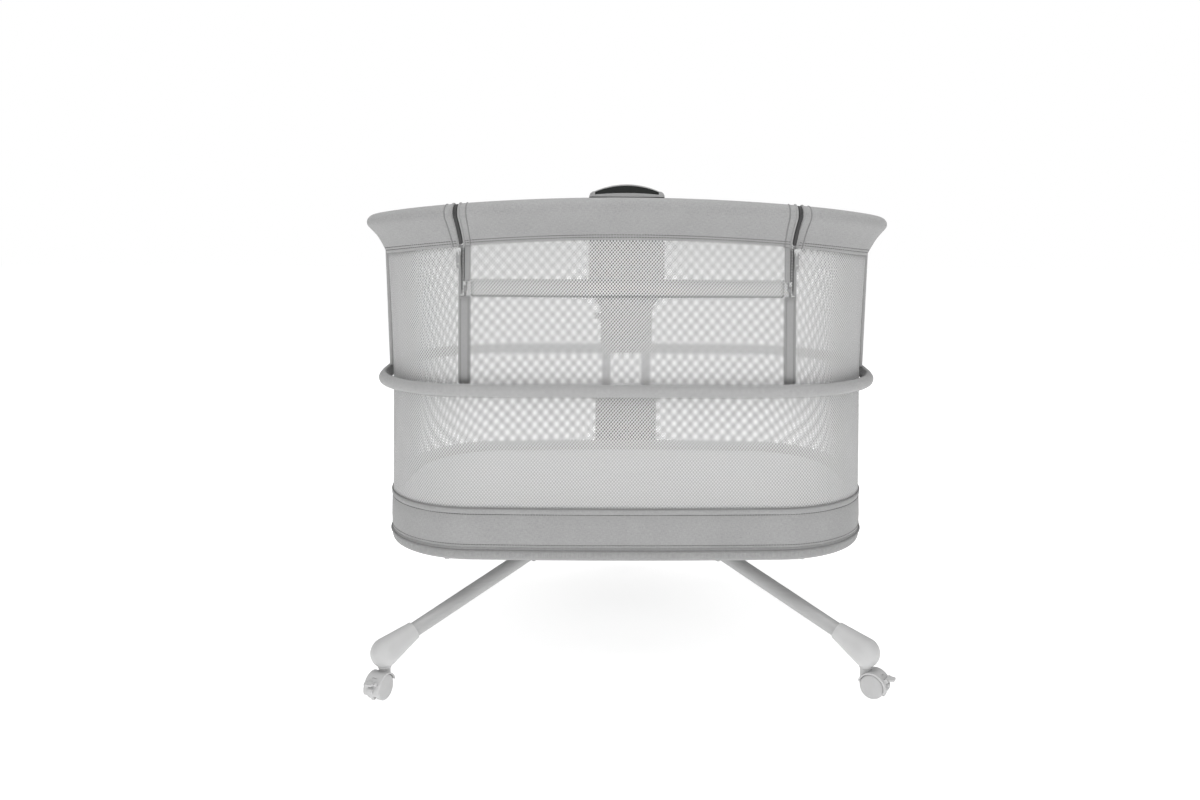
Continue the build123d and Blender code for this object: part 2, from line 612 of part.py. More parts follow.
legs = []
for name, sx, sy in CORNERS:
    start = along_leg(0, sx, sy)
    end = along_leg(LEG_LENGTH + 24, sx, sy)
    legs.append(rod(start, end, LEG_RADIUS) - rod(start, end, LEG_RADIUS - LEG_WALL))
    save(foot(sx, sy), "foot_" + name)
save(group(legs), "leg_tubes")


# ---------------------------------------------------------------- casters
def cross_rod(x, z, y_low, y_high, radius):
    return rod((x, y_low, z), (x, y_high, z), radius)


HOOD_HALF = WHEEL_OUTER + 2.0
FIN_HALF = WHEEL_INNER - 0.5
HOOD_INNER_RADIUS = WHEEL_RADIUS + 1.0
HOOD_TILT = 18.0
COLLAR_TOP = FOOT_BOTTOM - 1.2


def above_cut(distance):
    """Everything above a line that passes the axle and drops towards the back of the caster."""
    cutter = Pos(0, 0, 40 + distance) * Box(120, 60, 80)
    return Pos(TRAIL, 0, WHEEL_RADIUS) * Rot(0, HOOD_TILT, 0) * cutter


hood = cross_rod(TRAIL, WHEEL_RADIUS, -HOOD_HALF, HOOD_HALF, HOOD_RADIUS)
hood = fillet(hood.edges().filter_by(GeomType.CIRCLE), 0.8)
hood += Pos(0, 0, COLLAR_TOP - 9) * Cylinder(9.5, 18)
for side in (1, -1):
    low = FIN_HALF if side > 0 else -HOOD_HALF - 4
    hood -= cross_rod(TRAIL, WHEEL_RADIUS, low, low + HOOD_HALF + 4 - FIN_HALF, HOOD_INNER_RADIUS)
hood &= above_cut(0) + (above_cut(-9) & block(-50, 90, -FIN_HALF, FIN_HALF, 4, 90))
hood += cross_rod(TRAIL, WHEEL_RADIUS, -WHEEL_OUTER + 0.6, WHEEL_OUTER - 0.6, AXLE_RADIUS)
hood += Pos(0, 0, COLLAR_TOP + 11) * Cylinder(5.0, 24)
keep = cross_rod(TRAIL, WHEEL_RADIUS, -20, 20, HOOD_INNER_RADIUS + 1)
for side in (1, -1):
    near = min(side * 8.2, side * 10.6)
    ear = cross_rod(PEDAL_PIVOT_X, PEDAL_PIVOT_Z, near, near + 2.4, 3.2)
    ear_foot = block(PEDAL_PIVOT_X - 7, PEDAL_PIVOT_X, near, near + 2.4, PEDAL_PIVOT_Z - 4, PEDAL_PIVOT_Z + 1)
    hood += ear + (ear_foot - keep)
hood += cross_rod(PEDAL_PIVOT_X, PEDAL_PIVOT_Z, -9, 9, 1.5)
boss = block(TRAIL + 16, TRAIL + 26.5, -4.5, 4.5, WHEEL_RADIUS - 2, WHEEL_RADIUS + 7)
boss = fillet(boss.edges().filter_by(Axis.Y).group_by(Axis.X)[-1], 3)
hood += boss - keep
for turn in (52.0, 2.0):
    slot = Pos(HOOD_RADIUS, 0, 0) * Box(4.0, 8.0, 2.6)
    hood -= Pos(TRAIL, 0, WHEEL_RADIUS) * Rot(0, -turn, 0) * (slot - Box(2 * HOOD_INNER_RADIUS + 2, 20, 20))

wheel = cross_rod(TRAIL, WHEEL_RADIUS, WHEEL_INNER, WHEEL_OUTER, WHEEL_RADIUS)
wheel = fillet(wheel.edges().filter_by(GeomType.CIRCLE), 2.4)
wheel -= cross_rod(TRAIL, WHEEL_RADIUS, 0, 30, AXLE_RADIUS + RUNNING_GAP)
wheel_cap = cross_rod(TRAIL, WHEEL_RADIUS, WHEEL_OUTER - 0.4, WHEEL_OUTER, AXLE_RADIUS + 4)
wheel += wheel_cap
wheels = [wheel, mirror(wheel, Plane.XZ)]

pedal = block(PEDAL_PIVOT_X + 1, PEDAL_PIVOT_X + 12, -7.6, 7.6, PEDAL_PIVOT_Z + 0.2, PEDAL_PIVOT_Z + 3.2)
pedal = fillet(pedal.edges().filter_by(Axis.Z).group_by(Axis.X)[-1], 4)
pedal += cross_rod(PEDAL_PIVOT_X, PEDAL_PIVOT_Z, -7.6, 7.6, 3.0)
pedal -= cross_rod(PEDAL_PIVOT_X, PEDAL_PIVOT_Z, -9, 9, 1.5 + RUNNING_GAP)

for name, sx, sy in CORNERS:
    place = Pos(sx * FOOT_X, sy * FOOT_Y, 0) * Rot(0, 0, HEADINGS[name])
    save(place * hood, "caster_hood_" + name)
    save(group([place * piece for piece in wheels]), "caster_wheels_" + name)
    save(place * pedal, "brake_pedal_" + name)
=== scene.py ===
from math import atan2, ceil, cos, hypot, pi, sin, sqrt

import bmesh
import bpy
import numpy as np
from mathutils import Matrix, Vector


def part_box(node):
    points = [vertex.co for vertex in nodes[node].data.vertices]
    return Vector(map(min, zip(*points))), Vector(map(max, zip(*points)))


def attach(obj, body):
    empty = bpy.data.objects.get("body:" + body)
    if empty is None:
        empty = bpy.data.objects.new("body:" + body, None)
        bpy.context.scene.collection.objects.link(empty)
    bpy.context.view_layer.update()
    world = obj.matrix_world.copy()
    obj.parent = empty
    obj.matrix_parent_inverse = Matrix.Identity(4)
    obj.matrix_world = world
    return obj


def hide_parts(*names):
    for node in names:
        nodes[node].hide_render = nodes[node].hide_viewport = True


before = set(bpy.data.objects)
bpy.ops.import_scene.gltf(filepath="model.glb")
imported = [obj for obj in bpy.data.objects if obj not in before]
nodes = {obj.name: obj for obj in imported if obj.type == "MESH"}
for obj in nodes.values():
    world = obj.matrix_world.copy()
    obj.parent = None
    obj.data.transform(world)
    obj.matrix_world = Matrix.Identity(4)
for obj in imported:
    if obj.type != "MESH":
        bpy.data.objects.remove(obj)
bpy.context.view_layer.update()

# ------------------------------------------------------------------ sizes, metres
ring_low, ring_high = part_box("ring_sleeve")
tray_low, tray_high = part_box("base_tray")
strip_low, strip_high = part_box("hinge_strip")
rail_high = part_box("rail_sleeve")[1]
band_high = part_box("fabric_band")[1]
mattress_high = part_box("mattress")[1]

# The mesh wall seen from above: an oval of flat front and rear arcs, corner arcs and end arcs.
HALF_WIDTH = tray_high[0]
HALF_DEPTH = (tray_high[1] - tray_low[1]) / 2
BASKET_Y = (tray_high[1] + tray_low[1]) / 2
FRONT_RADIUS = 6.0
SIDE_RADIUS = 0.9
CORNER_RADIUS = 0.17

# Rail, ring and the hem of the rail's sleeve; offsets are outward from the wall.
RAIL_OFFSET = 0.028
RAIL_RADIUS = 0.0145
RAIL_ARCH = 0.030
HEM_RADIUS = 0.0022
RAIL_Z = rail_high[2] - RAIL_RADIUS
HEM_Z = RAIL_Z - 0.0555
RING_OFFSET = 0.015
RING_RADIUS = (ring_high[2] - ring_low[2]) / 2
RING_Z = (ring_high[2] + ring_low[2]) / 2

BAND_TOP = band_high[2]
TRAY_BOTTOM = tray_low[2]
TRAY_TOP = tray_high[2]
MATTRESS_TOP = mattress_high[2]

# The folding front: where the flap, the fixed sleeve and the zip tapes end, measured along x.
FLAP_HALF = 0.273
FIXED_HALF = 0.277
TAPE_INNER = 0.261
TAPE_OUTER = 0.2805
PIVOT_Z = 0.667
FOLD_GAP = 0.012
SIDE_FLARE = 0.010

# Thicknesses and places of the cloth, as offsets from the wall.
MESH_INNER, MESH_OUTER = -0.0009, -0.0002
STRIP_INNER, STRIP_OUTER = -0.0032, -0.0022
TAPE_INNER_FACE, TAPE_OUTER_FACE = 0.0003, 0.0013

# Distance between the stations of a loft, and between the points of a stitched line.
MESH_STEP = 0.008
BAND_STEP = 0.006
SLEEVE_STEP = 0.005
LINE_STEP = 0.004
STITCH_PITCH = 0.0046
STITCH_LENGTH = 0.0036


# ------------------------------------------------------------------ the basket's oval
def oval_table(count=220):
    """Position, outward normal and distance round the wall, from the middle of the front."""
    front_y = HALF_DEPTH - FRONT_RADIUS
    side_x = HALF_WIDTH - SIDE_RADIUS
    first = FRONT_RADIUS - CORNER_RADIUS
    second = SIDE_RADIUS - CORNER_RADIUS
    span = hypot(side_x, front_y)
    along = (first**2 - second**2 + span**2) / (2 * span)
    across = sqrt(first**2 - along**2)
    corner = max(
        (
            along * side_x / span + side * across * front_y / span,
            front_y - along * front_y / span + side * across * side_x / span,
        )
        for side in (1, -1)
    )
    turn_in = atan2(corner[1] - front_y, corner[0])
    turn_out = atan2(corner[1], corner[0] - side_x)
    quarter = []
    for centre, radius, start, end in (
        ((0.0, front_y), FRONT_RADIUS, pi / 2, turn_in),
        (corner, CORNER_RADIUS, turn_in, turn_out),
        ((side_x, 0.0), SIDE_RADIUS, turn_out, 0.0),
    ):
        for angle in np.linspace(start, end, count, endpoint=False):
            normal = (cos(angle), sin(angle))
            quarter.append((centre[0] + radius * normal[0], centre[1] + radius * normal[1], *normal))
    quarter.append((HALF_WIDTH, 0.0, 1.0, 0.0))
    quarter = np.array(quarter)
    front_right = quarter * (1, -1, 1, -1)
    rear_right = quarter[::-1][1:]
    right = np.vstack([front_right, rear_right])
    left = (right * (-1, 1, -1, 1))[::-1][1:]
    loop = np.vstack([right, left])
    steps = np.hypot(*np.diff(loop[:, :2], axis=0).T)
    return loop, np.concatenate([[0], np.cumsum(steps)])


OVAL, OVAL_S = oval_table()
GIRTH = float(OVAL_S[-1])


def oval_at(s):
    """(x, y, normal x, normal y) at distance s round the wall."""
    s = s % GIRTH
    x, y, nx, ny = (float(np.interp(s, OVAL_S, OVAL[:, k])) for k in range(4))
    size = hypot(nx, ny)
    return x, y + BASKET_Y, nx / size, ny / size


def place(s, offset, z):
    """The point at distance s, offset outward from the wall, at height z."""
    x, y, nx, ny = oval_at(s)
    return Vector((x + nx * offset, y + ny * offset, z))


def distance_at_x(x):
    """Distance round the wall, from the middle of the front, to a place x on the front."""
    half = OVAL[: len(OVAL) // 4]
    s = float(np.interp(abs(x), half[:, 0], OVAL_S[: len(half)]))
    return s if x >= 0 else -s


def arch(s):
    """How far the rail dips at distance s."""
    x, _, nx, _ = oval_at(s)
    return RAIL_ARCH * ((x + nx * RAIL_OFFSET) / (HALF_WIDTH + RAIL_OFFSET)) ** 2


def flare(s, z):
    """How far the mesh leans out towards the rail, at the ends of the basket only."""
    _, _, nx, _ = oval_at(s)
    top = HEM_Z - arch(s)
    rise = min(1.0, max(0.0, (z - RING_Z - 0.02) / (top - RING_Z - 0.02)))
    return SIDE_FLARE * abs(nx) ** 1.5 * rise**1.3


def ripple(s, size, *waves):
    """Gentle unevenness round the basket."""
    return size * sum(sin(2 * pi * s / length + phase) for length, phase in waves) / len(waves)


def pucker(s):
    """Uneven swelling of the padded rail sleeve."""
    return ripple(s, 0.0011, (0.047, 0.3), (0.083, 1.7), (0.031, 4.0), (0.21, 2.0))


S_FLAP = distance_at_x(FLAP_HALF)
S_FIXED = distance_at_x(FIXED_HALF)
S_TAPE_IN = distance_at_x(TAPE_INNER)
S_TAPE_OUT = distance_at_x(TAPE_OUTER)


# ------------------------------------------------------------------ mesh helpers
def make_object(name, vertices, faces, uvs=None, smooth=True):
    """A mesh object; uvs is one list of (u, v) per face."""
    mesh = bpy.data.meshes.new(name)
    mesh.from_pydata([tuple(v) for v in vertices], [], faces)
    if uvs:
        layer = mesh.uv_layers.new(name="UVMap")
        flat = [pair for face in uvs for pair in face]
        layer.data.foreach_set("uv", np.array(flat, np.float32).ravel())
    mesh.validate()
    obj = bpy.data.objects.new(name, mesh)
    bpy.context.scene.collection.objects.link(obj)
    mesh.polygons.foreach_set("use_smooth", [smooth] * len(mesh.polygons))
    return obj


def finish_piece(obj, body, material):
    """Gives a piece its material and ties it to the body it moves with."""
    obj.data.materials.append(material)
    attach(obj, body)
    return obj


def loft(name, start, end, step, section, around=False):
    """Carries a closed section round the wall from distance start to end.

    section(s) gives (offset, z, v) for each point of the section, v being the texture distance.
    """
    count = max(2, int(ceil((end - start) / step)))
    stations = [start + (end - start) * k / count for k in range(count + (0 if around else 1))]
    rows = [section(s) for s in stations]
    width = len(rows[0])
    vertices = [place(s, offset, z) for s, row in zip(stations, rows) for offset, z, _ in row]
    faces = []
    uvs = []
    total = len(stations)
    for k in range(total if around else total - 1):
        follow = (k + 1) % total
        u0 = start + (end - start) * k / count
        u1 = start + (end - start) * (k + 1) / count
        for j in range(width):
            i = (j + 1) % width
            v0 = rows[k][j][2]
            v1 = rows[k][i][2] if i else rows[k][j][2] + 0.001
            faces.append((k * width + j, follow * width + j, follow * width + i, k * width + i))
            uvs.append(((u0, v0), (u1, v0), (u1, v1), (u0, v1)))
    if not around:
        for k, order in ((0, range(width)), (total - 1, reversed(range(width)))):
            ring = [k * width + j for j in order]
            faces.append(tuple(ring))
            uvs.append([(stations[k] + rows[k][j % width][0], rows[k][j % width][1]) for j in range(width)])
    obj = make_object(name, vertices, faces, uvs)
    tidy_normals(obj)
    return obj


def tidy_normals(obj):
    work = bmesh.new()
    work.from_mesh(obj.data)
    bmesh.ops.recalc_face_normals(work, faces=work.faces)
    work.to_mesh(obj.data)
    work.free()


def crease_angle(obj, angle=0.7):
    """Smooth faces with hard edges where the surface turns sharply."""
    work = bmesh.new()
    work.from_mesh(obj.data)
    for edge in work.edges:
        if len(edge.link_faces) == 2 and edge.calc_face_angle(0) > angle:
            edge.smooth = False
    work.to_mesh(obj.data)
    work.free()


def height_at(level, s):
    """A level is a height, or a function of the distance round the wall."""
    return level(s) if callable(level) else level


def panel_section(low, high, inner, outer, rows, shape=None):
    """A thin wall panel: up its outer face and down its inner face."""

    def section(s):
        bottom = height_at(low, s)
        top = height_at(high, s)
        heights = [bottom + (top - bottom) * k / rows for k in range(rows + 1)]
        push = [shape(s, z) if shape else 0.0 for z in heights]
        up = [(outer + p, z, z) for z, p in zip(heights, push)]
        down = [(inner + p, z, z) for z, p in zip(reversed(heights), reversed(push))]
        return up + down

    return section


def tube(name, points, radius, sides=8, closed=False):
    """A round cord through the points."""
    points = [Vector(p) for p in points]
    vertices = []
    faces = []
    side = None
    total = len(points)
    for k, point in enumerate(points):
        before = points[k - 1] if k or closed else point
        after = points[(k + 1) % total] if k + 1 < total or closed else point
        along = (after - before).normalized()
        if side is None:
            side = along.orthogonal().normalized()
        side = (side - along * side.dot(along)).normalized()
        other = along.cross(side)
        for j in range(sides):
            angle = 2 * pi * j / sides
            vertices.append(point + radius * (cos(angle) * side + sin(angle) * other))
    for k in range(total if closed else total - 1):
        follow = (k + 1) % total
        for j in range(sides):
            i = (j + 1) % sides
            faces.append((k * sides + j, k * sides + i, follow * sides + i, follow * sides + j))
    if not closed:
        faces.append(tuple(reversed(range(sides))))
        faces.append(tuple((total - 1) * sides + j for j in range(sides)))
    uvs = [[(0.004 * (v // sides), 0.001 * (v % sides)) for v in face] for face in faces]
    obj = make_object(name, vertices, faces, uvs)
    tidy_normals(obj)
    return obj


def stitches(name, line, pitch, length, width):
    """Separate thread stitches lying along a line of (point, outward) pairs."""
    vertices = []
    faces = []
    travelled = 0.0
    due = 0.0
    for (a, out_a), (b, _) in zip(line, line[1:]):
        gap = (b - a).length
        while due <= travelled + gap and gap > 0:
            along = (b - a).normalized()
            centre = a + along * (due - travelled)
            out = (out_a - along * out_a.dot(along)).normalized()
            side = along.cross(out)
            first = len(vertices)
            for reach, lift in ((-0.5, 0.1), (-0.3, 1.0), (0.3, 1.0), (0.5, 0.1)):
                middle = centre + along * length * reach
                for edge in (-0.5, 0.5):
                    vertices.append(middle + side * width * edge + out * width * 0.45 * lift)
                for edge in (0.5, -0.5):
                    vertices.append(middle + side * width * edge - out * width * 0.4)
            for k in range(3):
                for j in range(4):
                    i = (j + 1) % 4
                    near = first + 4 * k
                    faces.append((near + j, near + i, near + 4 + i, near + 4 + j))
            faces.append((first + 3, first + 2, first + 1, first))
            faces.append((first + 12, first + 13, first + 14, first + 15))
            due += pitch
        travelled += gap
    uvs = [[(0.0005 * (v % 4), 0.0005 * (v // 4)) for v in face] for face in faces]
    obj = make_object(name, vertices, faces, uvs)
    tidy_normals(obj)
    return obj


def merge(name, objects):
    """Joins several pieces into one object."""
    target = objects[0]
    work = bmesh.new()
    for obj in objects:
        work.from_mesh(obj.data)
    work.to_mesh(target.data)
    work.free()
    for obj in objects[1:]:
        bpy.data.objects.remove(obj)
    target.name = name
    target.data.name = name
    return target


# ------------------------------------------------------------------ materials
class Nodes:
    """Short way to build a node tree."""

    def __init__(self, name):
        self.material = bpy.data.materials.new(name)
        self.material.use_nodes = True
        self.tree = self.material.node_tree
        self.shader = self.tree.nodes["Principled BSDF"]

    def add(self, kind, values=(), **settings):
        node = self.tree.nodes.new(kind)
        for key, value in settings.items():
            setattr(node, key, value)
        for key, value in dict(values).items():
            self.feed(node.inputs[key], value)
        return node

    def feed(self, socket, value):
        if isinstance(value, bpy.types.NodeSocket):
            self.tree.links.new(value, socket)
        else:
            socket.default_value = value

    def math(self, operation, first, second=0.0, third=0.0):
        node = self.add("ShaderNodeMath", {0: first, 1: second, 2: third}, operation=operation)
        return node.outputs[0]

    def ramp(self, factor, *stops):
        node = self.add("ShaderNodeValToRGB", {0: factor})
        elements = node.color_ramp.elements
        for index, (position, value) in enumerate(stops):
            element = elements[index] if index < 2 else elements.new(position)
            element.position = position
            element.color = (*value, 1) if isinstance(value, tuple) else (value, value, value, 1)
        return node.outputs["Color"]

    def noise(self, where, scale, detail=3.0, roughness=0.55):
        node = self.add(
            "ShaderNodeTexNoise", {"Vector": where, "Scale": scale, "Detail": detail, "Roughness": roughness}
        )
        return node.outputs["Fac"]

    def ranged(self, value, low, high, to_low, to_high):
        """Carries low..high over to to_low..to_high, held at the ends."""
        settings = {0: value, 1: low, 2: high, 3: to_low, 4: to_high}
        return self.add("ShaderNodeMapRange", settings, clamp=True).outputs[0]

    def stretched(self, source, x, y, z=1.0):
        node = self.add("ShaderNodeMapping", {"Vector": source, "Scale": (x, y, z)})
        return node.outputs["Vector"]

    def mixed(self, factor, first, second, blend="MIX"):
        node = self.add("ShaderNodeMix", {0: factor, 6: first, 7: second}, data_type="RGBA", blend_type=blend)
        return node.outputs[2]

    def bump(self, height, strength, distance):
        node = self.add("ShaderNodeBump", {"Height": height, "Strength": strength, "Distance": distance})
        self.feed(self.shader.inputs["Normal"], node.outputs["Normal"])

    def facing_out(self):
        """Positive where the surface faces away from the basket's middle, in metres."""
        place_here = self.add("ShaderNodeTexCoord")
        level = self.add("ShaderNodeVectorMath", operation="MULTIPLY")
        self.feed(level.inputs[0], place_here.outputs["Object"])
        level.inputs[1].default_value = (1, 1, 0)
        facing = self.add("ShaderNodeVectorMath", operation="DOT_PRODUCT")
        self.feed(facing.inputs[0], level.outputs[0])
        self.feed(facing.inputs[1], place_here.outputs["Normal"])
        return facing.outputs["Value"]

    def uv(self):
        return self.add("ShaderNodeTexCoord").outputs["UV"]

    def object(self):
        return self.add("ShaderNodeTexCoord").outputs["Object"]


def grey(value):
    return (value, value, value, 1)


def woven(name, tone, pitch=0.0011, contrast=0.16, sheen=0.25, roughness=0.9, inside=1.0):
    """Heathered plain-weave polyester; the texture runs in metres along the cloth.

    inside is painted shade: the faces turned towards the middle of the basket are darkened to that fraction
    of their tone.
    """
    n = Nodes(name)
    uv = n.uv()
    split = n.add("ShaderNodeSeparateXYZ", {0: uv})
    warp = n.math("SINE", n.math("MULTIPLY", split.outputs[0], 2 * pi / pitch))
    weft = n.math("SINE", n.math("MULTIPLY", split.outputs[1], 2 * pi / pitch))
    weave = n.math("MULTIPLY", warp, weft)
    along = n.noise(n.stretched(uv, 160, 900), 1.0, 4, 0.6)
    across = n.noise(n.stretched(uv, 1100, 190), 1.0, 4, 0.6)
    yarn = n.math("MULTIPLY", n.math("ADD", along, across), 0.5)
    cloud = n.noise(uv, 14, 2)
    light = n.ramp(yarn, (0.36, tone * (1 - contrast)), (0.64, tone * (1 + contrast)))
    shaded = n.mixed(0.35, light, n.ramp(cloud, (0.3, 0.82), (0.7, 1.0)), "MULTIPLY")
    # Painted shade on the faces turned towards the basket's middle.
    if inside < 1:
        shaded = n.mixed(1.0, shaded, n.ranged(n.facing_out(), -0.12, 0.02, inside, 1.0), "MULTIPLY")
    n.feed(n.shader.inputs["Base Color"], shaded)
    n.feed(n.shader.inputs["Roughness"], n.ramp(yarn, (0.3, roughness - 0.08), (0.7, roughness)))
    n.shader.inputs["Sheen Weight"].default_value = sheen
    n.shader.inputs["Sheen Roughness"].default_value = 0.5
    n.shader.inputs["Specular IOR Level"].default_value = 0.25
    n.bump(n.math("ADD", n.math("MULTIPLY", weave, 0.5), yarn), 0.35, 0.0006)
    return n.material


HOLE_PITCH_X = 0.0054
HOLE_PITCH_Z = 0.0062
FRONT_HOLE = 0.00140
REAR_HOLE = 0.00163
HOLE_WIDTH = 1.12
HOLE_HEIGHT = 0.95
FAR_CELLS = 100.0  # keeps the cell count above zero where the distance is negative


def knitted_mesh(name, tone, hole_tone=None):
    """Warp-knit mesh with staggered round holes, open unless hole_tone fills them.

    Tuned to the photo's look, not a uniform cloth: holes are wider at the back of the basket, and the
    face towards its inside carries painted shade, darker than the outer one, so that the column shows through
    as dots.
    """
    n = Nodes(name)
    uv = n.uv()
    position = n.add("ShaderNodeSeparateXYZ", {0: n.object()})
    outside = n.math("GREATER_THAN", n.facing_out(), 0.0)
    radius = n.ranged(position.outputs[1], -0.15, 0.10, FRONT_HOLE, REAR_HOLE)
    split = n.add("ShaderNodeSeparateXYZ", {0: uv})
    distances = []
    for shift in (0.0, 0.5):
        column = n.math("ADD", n.math("DIVIDE", split.outputs[0], HOLE_PITCH_X), shift + FAR_CELLS)
        row = n.math("ADD", n.math("DIVIDE", split.outputs[1], HOLE_PITCH_Z), shift + FAR_CELLS)
        across = n.math("SUBTRACT", n.math("FRACT", column), 0.5)
        upward = n.math("SUBTRACT", n.math("FRACT", row), 0.5)
        dx = n.math("MULTIPLY", across, HOLE_PITCH_X * HOLE_WIDTH)
        dz = n.math("MULTIPLY", upward, HOLE_PITCH_Z * HOLE_HEIGHT)
        squares = n.math("ADD", n.math("MULTIPLY", dx, dx), n.math("MULTIPLY", dz, dz))
        distances.append(n.math("SQRT", squares))
    nearest = n.math("MINIMUM", *distances)
    fibre = n.noise(n.stretched(uv, 900, 700), 1.0, 3)
    ragged = n.math("ADD", nearest, n.math("MULTIPLY", n.math("SUBTRACT", fibre, 0.5), 0.0003))
    rim = n.math("SUBTRACT", ragged, radius)
    solid = n.ranged(rim, -0.00012, 0.00012, 0.0, 1.0)
    edge = n.ranged(rim, 0.0, 0.0008, 0.0, 1.0)
    # Lit threads for outer faces, and a darker copy as painted shade for faces towards the basket's middle.
    bright = n.ramp(edge, (0.0, tone * 0.80), (1.0, tone * 1.10))
    shaded_inner_threads = n.ramp(edge, (0.0, tone * 0.32), (1.0, tone * 0.48))
    threads = n.mixed(outside, shaded_inner_threads, bright)
    # hole_tone fills the holes with a dark tone: painted shade for what is seen through them.
    if hole_tone:
        threads = n.mixed(solid, grey(hole_tone), threads)
    else:
        n.feed(n.shader.inputs["Alpha"], solid)
    n.feed(n.shader.inputs["Base Color"], threads)
    n.shader.inputs["Roughness"].default_value = 0.75
    n.shader.inputs["Sheen Weight"].default_value = 0.2
    n.bump(edge, 0.5, 0.0006)
    return n.material


def moulded(name, tone, roughness=0.42, wear=0.05, grain=2600):
    """Injection-moulded plastic with a fine spark texture and slightly rubbed patches."""
    n = Nodes(name)
    where = n.object()
    fine = n.noise(where, grain, 2)
    broad = n.noise(where, 30, 4)
    n.feed(n.shader.inputs["Base Color"], n.ramp(broad, (0.3, tone * (1 - wear)), (0.75, tone)))
    n.feed(n.shader.inputs["Roughness"], n.ramp(broad, (0.25, roughness + 0.07), (0.8, roughness - 0.04)))
    n.shader.inputs["Specular IOR Level"].default_value = 0.45
    n.bump(fine, 0.18, 0.00015)
    return n.material


def coated_metal(name, tone, roughness=0.34, metallic=0.0):
    """Powder-coated tube with faint orange peel and drawing marks."""
    n = Nodes(name)
    where = n.object()
    peel = n.noise(where, 700, 3)
    streak = n.noise(n.stretched(where, 30, 30, 400), 1.0, 3)
    n.feed(n.shader.inputs["Base Color"], n.ramp(streak, (0.3, tone * 0.95), (0.7, tone * 1.03)))
    n.feed(n.shader.inputs["Roughness"], n.ramp(peel, (0.3, roughness - 0.05), (0.7, roughness + 0.07)))
    n.shader.inputs["Metallic"].default_value = metallic
    n.shader.inputs["Coat Weight"].default_value = 0.15
    n.bump(peel, 0.12, 0.0002)
    return n.material


def plated(name, tone):
    """Plated zinc casting with fine scratches."""
    n = Nodes(name)
    where = n.object()
    scratch = n.noise(n.stretched(where, 500, 500, 4000), 1.0, 4)
    n.feed(n.shader.inputs["Base Color"], n.ramp(scratch, (0.3, tone * 0.9), (0.7, tone)))
    n.feed(n.shader.inputs["Roughness"], n.ramp(scratch, (0.3, 0.22), (0.7, 0.36)))
    n.shader.inputs["Metallic"].default_value = 1.0
    n.bump(scratch, 0.1, 0.0001)
    return n.material


def glossy_panel(name):
    """Gloss black window with faint smears."""
    n = Nodes(name)
    where = n.object()
    smear = n.noise(where, 45, 4)
    tint = n.ramp(smear, (0.3, (0.010, 0.012, 0.011)), (0.7, (0.016, 0.018, 0.017)))
    n.feed(n.shader.inputs["Base Color"], tint)
    n.feed(n.shader.inputs["Roughness"], n.ramp(smear, (0.3, 0.06), (0.75, 0.16)))
    n.shader.inputs["Coat Weight"].default_value = 0.6
    return n.material


def quilted(name, tone):
    """Soft knitted cotton cover."""
    n = Nodes(name)
    uv = n.uv()
    loops = n.noise(n.stretched(uv, 500, 1400), 1.0, 3)
    cloud = n.noise(uv, 9, 3)
    knit = n.ramp(loops, (0.3, tone * 0.95), (0.7, tone))
    shade = n.ramp(cloud, (0.3, 0.93), (0.7, 1.0))
    n.feed(n.shader.inputs["Base Color"], n.mixed(0.5, knit, shade, "MULTIPLY"))
    n.shader.inputs["Roughness"].default_value = 0.95
    n.shader.inputs["Sheen Weight"].default_value = 0.35
    n.bump(loops, 0.3, 0.0006)
    return n.material


SLEEVE = woven("sleeve_cloth", 0.342)
# The ring sleeve's faces towards the basket's middle get painted shade, 0.3 of the tone.
RING_CLOTH = woven("ring_cloth", 0.385, inside=0.3)
BAND_CLOTH = woven("band_cloth", 0.352)
UNDER_CLOTH = woven("under_cloth", 0.34)
HEM_CLOTH = woven("hem_cloth", 0.33, contrast=0.1)
TAPE_CLOTH = woven("tape_cloth", 0.335, pitch=0.0008, contrast=0.10)
# Piping cloth; on the band's top cord its darkness is painted shade for the shadow line at that edge.
PIPING_AND_EDGE_SHADE_CLOTH = woven("piping_and_edge_shade_cloth", 0.24, pitch=0.0009, contrast=0.12)
# Stitching thread, much darker than the cloth, so the stitch lines also carry the painted shade of the seam
# valleys.
THREAD_AND_SEAM_SHADE = woven("thread", 0.12, pitch=0.0004, contrast=0.08)
# Dark cloth of the sheets in the gaps beside the zips: painted shade.
GAP_SHADE_CLOTH = woven("gap_shade_cloth", 0.08, pitch=0.0008, contrast=0.1, sheen=0.0)
COIL = moulded("zip_coil", 0.13, 0.35)
MESH = knitted_mesh("mesh_cloth", 0.64)
# The strip's holes are filled with a dark tone: painted shade for what is seen through them.
STRIP_CLOTH = knitted_mesh("strip_cloth", 0.66, 0.09)
MATTRESS = quilted("mattress_cover", 0.46)
FOOT = moulded("foot_plastic", 0.55, 0.40)
HUB = moulded("hub_plastic", 0.36, 0.45)
COLUMN = moulded("column_plastic", 0.03, 0.45)
HEAD = moulded("head_plastic", 0.42, 0.38)
BLACK = moulded("black_plastic", 0.03, 0.5)
WHEEL = moulded("wheel_plastic", 0.52, 0.36, wear=0.12)
PULL = moulded("pull_plastic", 0.30, 0.4)
LEG = coated_metal("leg_coating", 0.42)
POST = coated_metal("post_coating", 0.36)
ARM = moulded("arm_coating", 0.30, 0.6)
STEEL = coated_metal("steel_coating", 0.05, 0.3)
ZINC = plated("zinc", 0.75)
PANEL = glossy_panel("panel_gloss")

